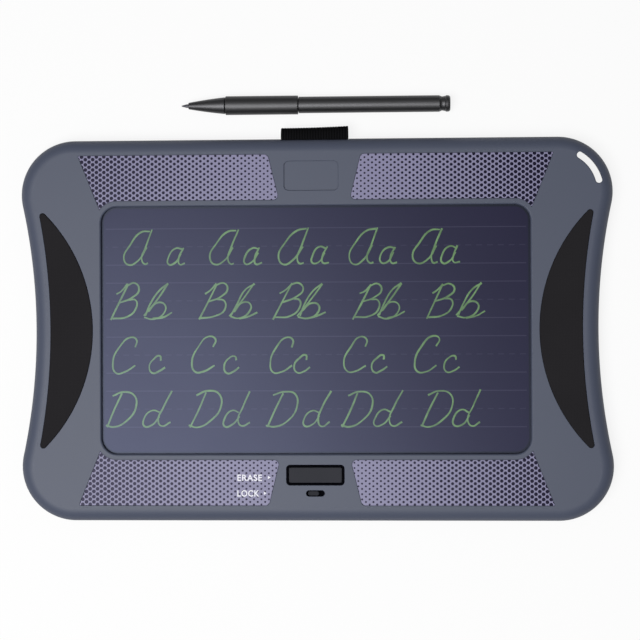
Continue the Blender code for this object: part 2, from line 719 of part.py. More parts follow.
def build_front_bezel():
    """The front moulding with its window, recesses, openings and screw bosses."""
    bezel = plate("front_bezel", [housing_outline(0.0)], BEZEL_LOW, FACE_HIGH)
    round_rim(bezel, FRONT_ROUNDOVER, ROUNDOVER_STEPS)
    rebate = SIDE_WALL - TONGUE_THICKNESS - CLEARANCE
    cut(bezel,
        plate("bezel_cavity", [housing_outline(SIDE_WALL)], BEZEL_LOW - OVERCUT, FACE_LOW, True),
        plate("bezel_rebate", [housing_outline(rebate)], BEZEL_LOW - OVERCUT, TONGUE_HIGH + CLEARANCE, True))
    join(bezel,
         rods("bezel_bosses", BOSS_RADIUS, BEZEL_LOW, FACE_LOW + EMBED, tower_centres()),
         blocks("film_tabs", locating_tabs()),
         bezel_slot("bezel_slot_wall", LANYARD_WALL, BEZEL_LOW, FACE_LOW + EMBED))
    screw_tip = SCREW_SEAT + SCREW_LENGTH + 2 * CLEARANCE
    window = window_outline(0.0)
    lip = window_outline(WINDOW_LIP + OVERCUT)
    surround_width = KEY_WIDTH + 2 * (SURROUND_WALL + 2 * CLEARANCE)
    surround_height = KEY_HEIGHT + 2 * (SURROUND_WALL + 2 * CLEARANCE)
    surround_corner = KEY_CORNER + SURROUND_WALL
    cut(bezel,
        rods("bezel_pilot_holes", SCREW_HOLE_RADIUS, BEZEL_LOW - OVERCUT, screw_tip, tower_centres()),
        lofted_tool("window_cut", [(window, FACE_LOW - OVERCUT), (window, FACE_HIGH - WINDOW_LIP),
                                   (lip, FACE_HIGH + OVERCUT)]),
        plate("key_cut", [rounded_rectangle(surround_width, surround_height, surround_corner,
                                            centre=(0, KEY_Y))],
              FACE_LOW - OVERCUT, FACE_HIGH + OVERCUT, True),
        plate("lock_cut", [rounded_rectangle(LOCK_SLOT_LENGTH, LOCK_SLOT_WIDTH, LOCK_SLOT_WIDTH / 2,
                                             centre=(0, LOCK_Y))],
              FACE_LOW - OVERCUT, FACE_HIGH + OVERCUT, True),
        plate("badge_recess", [rounded_rectangle(BADGE_WIDTH, BADGE_HEIGHT, PANEL_CORNER,
                                                 centre=(0, TOP_EDGE - BADGE_EDGE_GAP))],
              FACE_HIGH - BADGE_DEPTH, FACE_HIGH + OVERCUT, True),
        bezel_slot("bezel_slot_cut", 0.0, BEZEL_LOW - OVERCUT, FACE_HIGH + OVERCUT),
        loop_notch("bezel_loop_notch"))
    for name, (side, end) in CORNERS.items():
        recess = mirrored(panel_outline(CLEARANCE), side, end)
        cut(bezel, plate(name + "_recess", [recess], PANEL_LOW - CLEARANCE, FACE_HIGH + OVERCUT, True))
    for name, side in SIDES.items():
        recess = mirrored(grip_outline(CLEARANCE), side, 1)
        cut(bezel, plate(name + "_grip_recess", [recess], FACE_HIGH - GRIP_RECESS, FACE_HIGH + OVERCUT, True))
    finished(bezel, HOUSING_COLOUR, 0.5)


def door_outline(grow):
    """The battery door's outline, grown all round."""
    return rounded_rectangle(DOOR_WIDTH + 2 * grow, 2 * (DOOR_HALF_HEIGHT + grow), DOOR_CORNER + grow,
                             centre=(DOOR_X, CELL_Y))


def door_tabs(grow):
    """Corners of the door's two tabs, grown all round."""
    half_width = DOOR_TAB_WIDTH / 2 + grow
    low = DOOR_THICKNESS - DOOR_TAB_THICKNESS - grow
    return [((DOOR_RIGHT - EMBED, CELL_Y + end * DOOR_TAB_SPREAD - half_width, low),
             (DOOR_RIGHT + DOOR_TAB_LENGTH + grow, CELL_Y + end * DOOR_TAB_SPREAD + half_width,
              DOOR_THICKNESS + grow)) for end in (-1, 1)]


def build_back_cover():
    """The rear moulding with its screw towers, ribs, battery bay and loop pin ribs."""
    cover = plate("back_cover", [housing_outline(0.0)], 0.0, COVER_HIGH)
    round_rim(cover, BACK_ROUNDOVER, ROUNDOVER_STEPS, False)
    board_screws = [(side * BOARD_SCREW_X, BOARD_Y) for side in (-1, 1)]
    door_screw = [(DOOR_SCREW_X, CELL_Y)]
    floor = BACK_WALL - EMBED
    standoff_high = BOARD_LOW - CLEARANCE
    rib_reach = SCREEN_WIDTH / 2 - RIB_SETBACK
    ribs = [((-rib_reach, row * RIB_PITCH - RIB_THICKNESS / 2, floor),
             (rib_reach, row * RIB_PITCH + RIB_THICKNESS / 2, BACKING_LOW - CLEARANCE)) for row in (-1, 0, 1)]
    pin_ribs = []
    for side in (-1, 1):
        edges = sorted((side * PIN_RIB_X, side * (PIN_RIB_X + PIN_RIB_WIDTH)))
        rib_high = TOP_EDGE - SIDE_WALL - CLEARANCE
        pin_ribs.append(((edges[0], rib_high - PIN_RIB_DEPTH, floor),
                         (edges[1], rib_high, PARTING + 2 * LOOP_EYE_RADIUS)))
    join(cover, plate("cover_tongue", [housing_outline(SIDE_WALL - TONGUE_THICKNESS)], COVER_HIGH - OVERCUT,
                      TONGUE_HIGH, True))
    cut(cover, plate("cover_cavity", [housing_outline(SIDE_WALL)], BACK_WALL, TONGUE_HIGH + OVERCUT, True))
    join(cover,
         rods("screw_towers", TOWER_RADIUS, floor, COVER_HIGH, tower_centres()),
         rods("board_standoffs", BOSS_RADIUS, floor, standoff_high, board_screws),
         plate("battery_bay", [door_outline(PAD_MARGIN)], floor, LEDGE_HIGH, True),
         rods("door_boss", BOSS_RADIUS, LEDGE_HIGH - EMBED, standoff_high, door_screw),
         blocks("backing_ribs", ribs),
         blocks("pin_ribs", pin_ribs),
         cover_slot("cover_slot_wall", LANYARD_WALL, floor, COVER_HIGH))
    board_tip = SWITCH_LOW - BOARD_SCREW_LENGTH - CLEARANCE
    pin_hole = rods("pin_hole", LOOP_EYE_RADIUS, -LOOP_WIDTH, LOOP_WIDTH, [(0.0, 0.0)])
    pin_hole.rotation_euler = (0.0, math.pi / 2, 0.0)
    pin_hole.location = (0.0, LOOP_PIN_Y, PARTING)
    cut(cover,
        rods("tower_holes", SCREW_HOLE_RADIUS, -OVERCUT, COVER_HIGH + OVERCUT, tower_centres()),
        rods("counterbores", COUNTERBORE_RADIUS, -OVERCUT, SCREW_SEAT + CLEARANCE, tower_centres()),
        rods("standoff_holes", SCREW_HOLE_RADIUS, board_tip, standoff_high + OVERCUT, board_screws),
        plate("door_rebate", [door_outline(CLEARANCE)], -OVERCUT, LEDGE_LOW, True),
        blocks("door_tab_slots", door_tabs(CLEARANCE)),
        rods("cell_hole", CELL_HOLE_RADIUS, 0.0, LEDGE_HIGH + OVERCUT, [(CELL_X, CELL_Y)]),
        rods("door_screw_pilot", SCREW_HOLE_RADIUS, 0.0, standoff_high + OVERCUT, door_screw),
        cover_slot("cover_slot_cut", 0.0, -OVERCUT, COVER_HIGH + OVERCUT),
        loop_notch("cover_loop_notch"),
        pin_hole)
    finished(cover, HOUSING_COLOUR, 0.5)


def build_film_stack():
    """The film, the foam frame and the board behind it, and the film's flat tail."""
    sheet = rounded_rectangle(FILM_WIDTH, FILM_HEIGHT, FILM_CORNER)
    opening = rounded_rectangle(FILM_WIDTH - 2 * FOAM_WIDTH, FILM_HEIGHT - 2 * FOAM_WIDTH, FILM_CORNER)
    finished(plate("lcd_film", [sheet], FILM_LOW, FILM_HIGH), (0.06, 0.065, 0.11), 0.25)
    finished(plate("foam_frame", [sheet, opening], FOAM_LOW, FOAM_HIGH), (0.03, 0.03, 0.03), 0.9)
    finished(plate("backing_board", [sheet], BACKING_LOW, BACKING_HIGH), (0.35, 0.35, 0.34), 0.6)
    start = -(FILM_HEIGHT / 2 + CLEARANCE)
    high = (FILM_LOW + FILM_HIGH) / 2
    low = SWITCH_LOW + CLEARANCE
    steps = 10
    bend = [(start - TAIL_DROP_SETBACK * (0.5 + 0.5 * i / steps),
             (high + low) / 2 + (high - low) / 2 * math.cos(math.pi * i / steps)) for i in range(steps + 1)]
    path = [(start, high)] + bend + [(start - TAIL_RUN, low)]
    finished(ribbon("flex_tail", path, TAIL_WIDTH, TAIL_SHEET, (TAIL_X, 0.0, 0.0), SIDE_VIEW),
             (0.45, 0.22, 0.05), 0.4)
    mouth = start - TAIL_RUN - CLEARANCE
    finished(block("flex_connector", (TAIL_X - CONNECTOR_WIDTH / 2, mouth - CONNECTOR_DEPTH, SWITCH_LOW),
                   (TAIL_X + CONNECTOR_WIDTH / 2, mouth, SWITCH_HIGH)), (0.75, 0.72, 0.65), 0.5)


def build_trim():
    """The four corner panels and the two grips."""
    for name, (side, end) in CORNERS.items():
        panel = plate(name + "_panel", [mirrored(panel_outline(0.0), side, end)], PANEL_LOW, FACE_HIGH)
        finished(panel, (0.28, 0.27, 0.38), 0.35, 0.6)
    for name, side in SIDES.items():
        grip = plate(name + "_grip", [mirrored(grip_outline(0.0), side, 1)], GRIP_LOW, FACE_HIGH + GRIP_PROUD)
        round_rim(grip, GRIP_EDGE, EDGE_STEPS)
        finished(grip, BLACK_RUBBER, 0.8)


def build_board():
    """The circuit board and the parts soldered to it."""
    screws = [(side * BOARD_SCREW_X, BOARD_Y) for side in (-1, 1)]
    outline = rounded_rectangle(BOARD_WIDTH, BOARD_TOP - BOARD_BOTTOM, FILM_CORNER, centre=(0.0, BOARD_Y))
    board = plate("main_board", [outline], BOARD_LOW, BOARD_HIGH)
    cut(board, rods("board_holes", SCREW_HOLE_RADIUS, BOARD_LOW - OVERCUT, BOARD_HIGH + OVERCUT, screws))
    finished(board, (0.03, 0.14, 0.06), 0.45)
    half = CHIP_SIZE / 2
    finished(block("driver_chip", (CHIP_X - half, BOARD_Y - half, SWITCH_LOW),
                   (CHIP_X + half, BOARD_Y + half, SWITCH_LOW + CHIP_HEIGHT)), BLACK_PLASTIC, 0.4)
    coil = rods("boost_coil", COIL_RADIUS, SWITCH_LOW, SWITCH_LOW + COIL_HEIGHT, [(COIL_X, BOARD_Y)], False)
    finished(coil, (0.08, 0.08, 0.08), 0.6)
    finished(block("tank_capacitor",
                   (CAPACITOR_X - CAPACITOR_LENGTH / 2, BOARD_Y - CAPACITOR_WIDTH / 2, SWITCH_LOW),
                   (CAPACITOR_X + CAPACITOR_LENGTH / 2, BOARD_Y + CAPACITOR_WIDTH / 2,
                    SWITCH_LOW + CAPACITOR_HEIGHT)), (0.5, 0.36, 0.2), 0.5)


def build_supply():
    """The coin cell, its two contacts and the door that closes the bay."""
    flat = CELL_RADIUS - CELL_STEP
    cell = turned("coin_cell", [(0.0, CELL_THICKNESS), (flat, CELL_THICKNESS),
                                (flat, CELL_THICKNESS - CLEARANCE), (CELL_RADIUS, CELL_THICKNESS - CLEARANCE),
                                (CELL_RADIUS, 0.0), (0.0, 0.0)])
    settled(cell).location = (CELL_X, CELL_Y, CELL_LOW)
    finished(cell, STEEL, 0.25, 1.0)
    steps = 8
    leaf_high = BOARD_LOW - CONTACT_SPACE / 4
    leaf_low = CELL_HIGH + CONTACT_SPACE / 4 + LEAF_SHEET
    bow = [(LEAF_REACH * (2 * i / steps - 1),
            leaf_high + (leaf_low - leaf_high) * math.sin(math.pi * i / steps)) for i in range(steps + 1)]
    leaf = ribbon("negative_contact", bow, LEAF_WIDTH, LEAF_SHEET, (CELL_X, CELL_Y, 0.0), SIDE_VIEW)
    finished(leaf, STEEL, 0.3, 1.0)
    clip_low = LEDGE_HIGH + CLEARANCE
    clip_high = BOARD_LOW - CLEARANCE
    clip_radius = CELL_RADIUS + CLEARANCE + CONTACT_SHEET / 2
    clip = ribbon("positive_contact", arc((0.0, 0.0), clip_radius, -CLIP_ANGLE, CLIP_ANGLE, CORNER_STEPS),
                  clip_high - clip_low, CONTACT_SHEET, (CELL_X, CELL_Y, (clip_low + clip_high) / 2))
    finished(clip, STEEL, 0.3, 1.0)
    door = plate("battery_door", [door_outline(0.0)], 0.0, DOOR_THICKNESS)
    join(door, blocks("door_tabs", door_tabs(0.0)))
    door_screw = [(DOOR_SCREW_X, CELL_Y)]
    cut(door,
        rods("door_screw_hole", SCREW_HOLE_RADIUS, -OVERCUT, DOOR_THICKNESS + OVERCUT, door_screw),
        rods("door_counterbore", COUNTERBORE_RADIUS, -OVERCUT, DOOR_SCREW_SEAT + CLEARANCE, door_screw))
    finished(door, HOUSING_COLOUR, 0.5)


def joint_axis(name, location):
    """An empty on a moving body's axis, which carries that body's pieces."""
    axis = bpy.data.objects.new(name, None)
    axis.location = location
    PARTS.objects.link(axis)
    bpy.context.view_layer.update()
    return axis


def carry(axis, *pieces):
    """Parent pieces to their joint's empty without moving them."""
    for piece in pieces:
        piece.parent = axis
        piece.matrix_parent_inverse = axis.matrix_world.inverted()


def key_plate(name, grow, corner, low, high, tool=False):
    """A plate with the erase key's outline, grown all round."""
    outline = rounded_rectangle(KEY_WIDTH + 2 * grow, KEY_HEIGHT + 2 * grow, corner, centre=(0.0, KEY_Y))
    return plate(name, [outline], low, high, tool)


def build_erase_key():
    """The erase key in its seal ring, above the switch that it presses."""
    ring = CLEARANCE + SURROUND_WALL
    ring_corner = KEY_CORNER + SURROUND_WALL
    surround = key_plate("button_surround", ring, ring_corner, SURROUND_LOW, FACE_HIGH - SURROUND_SINK)
    join(surround, key_plate("surround_flange", ring + KEY_FLANGE_REACH, ring_corner, SURROUND_LOW,
                             SURROUND_FLANGE_HIGH, True))
    cut(surround, key_plate("surround_bore", CLEARANCE, KEY_CORNER + CLEARANCE, SURROUND_LOW - OVERCUT,
                            FACE_HIGH + OVERCUT, True))
    finished(surround, BLACK_RUBBER, 0.6)
    key = key_plate("erase_button", 0.0, KEY_CORNER, KEY_LOW, FACE_HIGH + KEY_PROUD)
    round_rim(key, KEY_EDGE, EDGE_STEPS)
    join(key, key_plate("key_flange", KEY_FLANGE_REACH, KEY_CORNER, KEY_LOW, KEY_FLANGE_HIGH, True))
    finished(key, (0.045, 0.045, 0.047), 0.5)
    half = ERASE_SWITCH_SIZE / 2
    switch = block("erase_switch", (-half, KEY_Y - half, SWITCH_LOW), (half, KEY_Y + half, SWITCH_HIGH))
    cut(switch, rods("stem_hole", STEM_RADIUS + CLEARANCE, SWITCH_LOW + SWITCH_FLOOR, SWITCH_HIGH + OVERCUT,
                     [(0.0, KEY_Y)]))
    finished(switch, BLACK_PLASTIC, 0.4)
    stem_low = SWITCH_LOW + SWITCH_FLOOR + CLEARANCE + ERASE_TRAVEL
    stem = rods("erase_switch_stem", STEM_RADIUS, stem_low, STEM_HIGH, [(0.0, KEY_Y)], False)
    finished(stem, (0.4, 0.05, 0.04), 0.5)
    carry(joint_axis("erase_key_axis", (0.0, KEY_Y, KEY_LOW)), key, stem)


def build_lock_slider():
    """The lock slider under the bezel and the slide switch that its fork moves."""
    knob_width = LOCK_SLOT_WIDTH - 2 * CLEARANCE
    flange_high = FACE_LOW - CLEARANCE
    flange_low = flange_high - LOCK_FLANGE
    flange_length = LOCK_SLOT_LENGTH + 2 * (LOCK_TRAVEL + LOCK_FLANGE_REACH)
    flange_width = LOCK_SLOT_WIDTH + 2 * (LOCK_FLANGE_REACH - CLEARANCE)
    knob = rounded_rectangle(LOCK_KNOB_LENGTH, knob_width, knob_width / 2, centre=(LOCK_X, LOCK_Y))
    flange = rounded_rectangle(flange_length, flange_width, KEY_CORNER, centre=(LOCK_X, LOCK_Y))
    slider = plate("lock_slider", [flange], flange_low, flange_high)
    fork_near = LEVER_LENGTH / 2 + CLEARANCE
    fork_far = fork_near + FORK_THICKNESS
    fork_low = SWITCH_HIGH + 2 * CLEARANCE
    prongs = []
    for side in (-1, 1):
        edges = sorted((LOCK_X + side * fork_near, LOCK_X + side * fork_far))
        prongs.append(((edges[0], LOCK_Y - FORK_WIDTH / 2, fork_low),
                       (edges[1], LOCK_Y + FORK_WIDTH / 2, flange_high - CLEARANCE)))
    join(slider,
         plate("lock_knob", [knob], flange_low + CLEARANCE, FACE_HIGH - LOCK_KNOB_SINK, True),
         blocks("lock_fork", prongs))
    finished(slider, (0.05, 0.05, 0.055), 0.5)
    half_lever = LEVER_WIDTH / 2
    track_floor = SWITCH_LOW + SWITCH_FLOOR
    lever = block("lock_switch_lever",
                  (LOCK_X - LEVER_LENGTH / 2, LOCK_Y - half_lever, track_floor + CLEARANCE),
                  (LOCK_X + LEVER_LENGTH / 2, LOCK_Y + half_lever, flange_low - CLEARANCE))
    finished(lever, BLACK_PLASTIC, 0.5)
    middle = LOCK_X + LOCK_TRAVEL / 2
    track = LEVER_LENGTH / 2 + LOCK_TRAVEL / 2 + CLEARANCE
    half_length = LOCK_SWITCH_LENGTH / 2
    half_width = LOCK_SWITCH_WIDTH / 2
    switch = block("lock_switch", (middle - half_length, LOCK_Y - half_width, SWITCH_LOW),
                   (middle + half_length, LOCK_Y + half_width, SWITCH_HIGH))
    cut(switch, block("lever_track", (middle - track, LOCK_Y - half_lever - CLEARANCE, track_floor),
                      (middle + track, LOCK_Y + half_lever + CLEARANCE, SWITCH_HIGH + OVERCUT), True))
    finished(switch, STEEL, 0.35, 1.0)
    carry(joint_axis("lock_axis", (LOCK_X, LOCK_Y, flange_low)), slider, lever)


def screw_mesh(name, head_height, length):
    """A pan head screw with a cross recess: its seat at height 0 and its tip up."""
    screw = settled(turned(name, [(0.0, length), (SCREW_RADIUS, length), (SCREW_RADIUS, 0.0),
                                  (SCREW_HEAD_RADIUS, 0.0), (SCREW_HEAD_RADIUS, -head_height),
                                  (0.0, -head_height)], SCREW_SEGMENTS, True))
    reach = SCREW_HEAD_RADIUS - 2 * CLEARANCE
    half = SCREW_SLOT_WIDTH / 2
    floor = SCREW_SLOT_DEPTH - head_height
    cut(screw, block(name + "_slot", (-reach, -half, -head_height - OVERCUT), (reach, half, floor), True),
        block(name + "_cross", (-half, -reach, -head_height - OVERCUT), (half, reach, floor), True))
    return settled(screw).data


def build_fasteners():
    """Housing screws from the back, board screws from the front and the door's screw."""
    housing = screw_mesh("housing_screw_form", SCREW_HEAD_HEIGHT, SCREW_LENGTH)
    for number, (x, y) in enumerate(tower_centres(), 1):
        screw = place(f"housing_screw_{number}", housing.copy())
        screw.location = (x, y, SCREW_SEAT)
        finished(screw, STEEL, 0.35, 1.0)
    board = screw_mesh("board_screw_form", SCREW_HEAD_HEIGHT, BOARD_SCREW_LENGTH)
    for number, side in enumerate((-1, 1), 1):
        screw = place(f"board_screw_{number}", board.copy())
        screw.location = (side * BOARD_SCREW_X, BOARD_Y, SWITCH_LOW)
        screw.rotation_euler = (math.pi, 0.0, 0.0)
        finished(screw, STEEL, 0.35, 1.0)
    door = screw_mesh("door_screw_form", DOOR_HEAD_HEIGHT, DOOR_SCREW_LENGTH)
    screw = place("battery_door_screw", door.copy())
    screw.location = (DOOR_SCREW_X, CELL_Y, DOOR_SCREW_SEAT)
    finished(screw, STEEL, 0.35, 1.0)


def build_stylus_loop():
    """The elastic band and the pin inside the housing that it goes round."""
    band = side_plate("stylus_loop", [loop_outline(LOOP_EYE_RADIUS + LOOP_BAND, LOOP_BORE_RADIUS + LOOP_BAND),
                                      loop_outline(LOOP_EYE_RADIUS, LOOP_BORE_RADIUS)], LOOP_WIDTH)
    finished(band, (0.01, 0.01, 0.012), 0.9)
    half = PIN_RIB_X + PIN_RIB_WIDTH - CLEARANCE
    pin = rods("loop_pin", LOOP_PIN_RADIUS, -half, half, [(0.0, 0.0)], False)
    pin.rotation_euler = (0.0, math.pi / 2, 0.0)
    pin.location = (0.0, LOOP_PIN_Y, PARTING)
    finished(pin, STEEL, 0.3, 1.0)


def build_stylus():
    """The loose stylus, lying along X with its writing point to the left."""
    axis = joint_axis("stylus_axis", (STYLUS_X, STYLUS_Y, SLEEVE_RADIUS))
    tip = STYLUS_LENGTH / 2
    nose_front = tip - NIB_REACH
    nose_back = nose_front - NOSE_LENGTH
    sleeve_front = nose_back - CLEARANCE
    sleeve_back = sleeve_front - SLEEVE_LENGTH
    barrel_front = sleeve_back - CLEARANCE
    barrel_back = barrel_front - BARREL_LENGTH
    neck_back = barrel_back - CAP_NECK_LENGTH
    bead_back = neck_back - CAP_BEAD_LENGTH
    spigot_front = nose_back + SPIGOT_TIP_LENGTH
    nib_back = nose_front - NIB_SEAT
    cap_seat = CAP_STEM_RADIUS + CLEARANCE
    nib = turned("stylus_nib", [(0.0, tip), (NIB_POINT_RADIUS, tip - NIB_POINT_RADIUS),
                                (NIB_RADIUS, nose_front + NIB_RADIUS), (NIB_RADIUS, nib_back),
                                (0.0, nib_back)])
    nib_seat = NIB_RADIUS + CLEARANCE
    nib_floor = nib_back - CLEARANCE
    socket = SPIGOT_TIP_RADIUS + CLEARANCE
    socket_floor = spigot_front + CLEARANCE
    nose = turned("stylus_nose", [(0.0, nib_floor), (nib_seat, nib_floor), (nib_seat, nose_front),
                                  (NOSE_FRONT_RADIUS, nose_front), (NOSE_BACK_RADIUS, nose_back),
                                  (socket, nose_back), (socket, socket_floor), (0.0, socket_floor)])
    sleeve_bore = SPIGOT_RADIUS + CLEARANCE
    sleeve = turned("stylus_grip", [(sleeve_bore, sleeve_front), (SLEEVE_RADIUS - SLEEVE_EDGE, sleeve_front),
                                    (SLEEVE_RADIUS, sleeve_front - SLEEVE_EDGE),
                                    (SLEEVE_RADIUS, sleeve_back + SLEEVE_EDGE),
                                    (SLEEVE_RADIUS - SLEEVE_EDGE, sleeve_back), (sleeve_bore, sleeve_back),
                                    (sleeve_bore, sleeve_front)])
    cap_floor = barrel_back + CAP_STEM_LENGTH + CLEARANCE
    barrel = turned("stylus_barrel", [(0.0, spigot_front), (SPIGOT_TIP_RADIUS, spigot_front),
                                      (SPIGOT_TIP_RADIUS, sleeve_front), (SPIGOT_RADIUS, sleeve_front),
                                      (SPIGOT_RADIUS, barrel_front), (BARREL_RADIUS, barrel_front),
                                      (BARREL_RADIUS, barrel_back), (cap_seat, barrel_back),
                                      (cap_seat, cap_floor), (0.0, cap_floor)])
    stem_front = barrel_back + CAP_STEM_LENGTH
    neck_front = barrel_back - CLEARANCE
    cap = turned("stylus_end_cap", [(0.0, stem_front), (CAP_STEM_RADIUS, stem_front),
                                    (CAP_STEM_RADIUS, neck_front), (CAP_NECK_RADIUS, neck_front),
                                    (CAP_NECK_RADIUS, neck_back),
                                    (CAP_BEAD_RADIUS, neck_back - CAP_BEAD_EDGE),
                                    (CAP_BEAD_RADIUS, bead_back + CAP_BEAD_EDGE),
                                    (CAP_BEAD_RADIUS - CAP_BEAD_EDGE, bead_back), (0.0, bead_back)])
    colours = {nib: (0.06, 0.06, 0.065), nose: (0.03, 0.03, 0.035), sleeve: (0.035, 0.035, 0.04),
               barrel: (0.04, 0.04, 0.045), cap: (0.03, 0.03, 0.035)}
    for piece, colour in colours.items():
        settled(piece)
        piece.rotation_euler = (0.0, -math.pi / 2, 0.0)
        piece.location = axis.location
        finished(piece, colour, 0.45)
    bpy.context.view_layer.update()
    carry(axis, *colours)


build_front_bezel()
build_back_cover()
build_film_stack()
build_trim()
build_board()
build_supply()
build_erase_key()
build_lock_slider()
build_fasteners()
build_stylus_loop()
build_stylus()
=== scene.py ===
"""Looks of the LCD writing tablet: fine shells, finishes, writing, stylus and studio."""

import logging
import math
import random
from collections.abc import Callable, Iterable, Sequence
from dataclasses import dataclass, field
from enum import Enum
from functools import cache

import bpy
from mathutils import Matrix, Vector


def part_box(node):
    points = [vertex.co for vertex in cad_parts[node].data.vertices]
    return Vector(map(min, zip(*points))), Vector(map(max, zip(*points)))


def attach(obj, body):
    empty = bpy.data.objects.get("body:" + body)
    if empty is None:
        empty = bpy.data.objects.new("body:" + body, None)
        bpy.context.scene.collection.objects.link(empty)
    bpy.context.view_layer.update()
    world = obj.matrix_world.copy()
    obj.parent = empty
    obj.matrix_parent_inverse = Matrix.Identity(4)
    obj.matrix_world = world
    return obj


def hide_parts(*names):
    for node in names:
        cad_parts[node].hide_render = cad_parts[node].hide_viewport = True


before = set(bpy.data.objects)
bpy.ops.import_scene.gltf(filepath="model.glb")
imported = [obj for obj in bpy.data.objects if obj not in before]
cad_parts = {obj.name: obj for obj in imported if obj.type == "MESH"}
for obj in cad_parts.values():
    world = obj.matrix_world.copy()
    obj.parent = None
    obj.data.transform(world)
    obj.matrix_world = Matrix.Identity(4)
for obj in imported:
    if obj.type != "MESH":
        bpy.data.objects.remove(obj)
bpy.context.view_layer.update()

Point = tuple[float, float]
Spot = tuple[float, float, float]
Outline = list[Point]
Ring = list[Spot]
Colour = tuple[float, float, float]
Stroke = tuple[Point, ...]
Grown = Callable[[float], Outline]

LOG = logging.getLogger("writing_tablet")

# Clearances and tolerances in metres
GAP = 0.0003
SEAM = 0.0001
OVERCUT = 0.001
TOUCH = 0.000003

# How far the film reaches past the window's edge, and the radius of the window's corners
FILM_MARGIN = 0.003
WINDOW_CORNER = 0.007

# The angle up to which faces shade as one, and how far a cutter's rounded edge turns
SMOOTH_ANGLE = math.radians(32.0)
FLARE_ANGLE = math.radians(72.0)
QUARTER = math.pi / 2

# A place off every axis of the tablet, from which edges and faces are put in order
SORT_SPOT = (1.31, 0.77, 0.43)


class Body(str, Enum):
    """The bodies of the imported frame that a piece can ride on."""

    TABLET = "tablet"
    ERASE_KEY = "erase_key"
    LOCK = "lock"
    STYLUS = "stylus"


class Corner(Enum):
    """The four corners of the housing, as signs of X and Y."""

    UPPER_LEFT = (-1, 1)
    UPPER_RIGHT = (1, 1)
    LOWER_LEFT = (-1, -1)
    LOWER_RIGHT = (1, -1)


class Side(Enum):
    """The two flanks of the housing, as the sign of X."""

    LEFT = -1
    RIGHT = 1


def lowest(node: str) -> Vector:
    """The lowest corner of a frame node's box."""
    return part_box(node)[0]


def highest(node: str) -> Vector:
    """The highest corner of a frame node's box."""
    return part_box(node)[1]


def middle(node: str) -> Vector:
    """The middle of a frame node's box."""
    return (lowest(node) + highest(node)) / 2


def spot_of(node: str) -> Point:
    """The middle of a frame node's box in plan."""
    return tuple(middle(node)[:2])


def window_half() -> Point:
    """Half the width and height of the screen window."""
    film = highest("lcd_film")
    return film.x - FILM_MARGIN, film.y - FILM_MARGIN


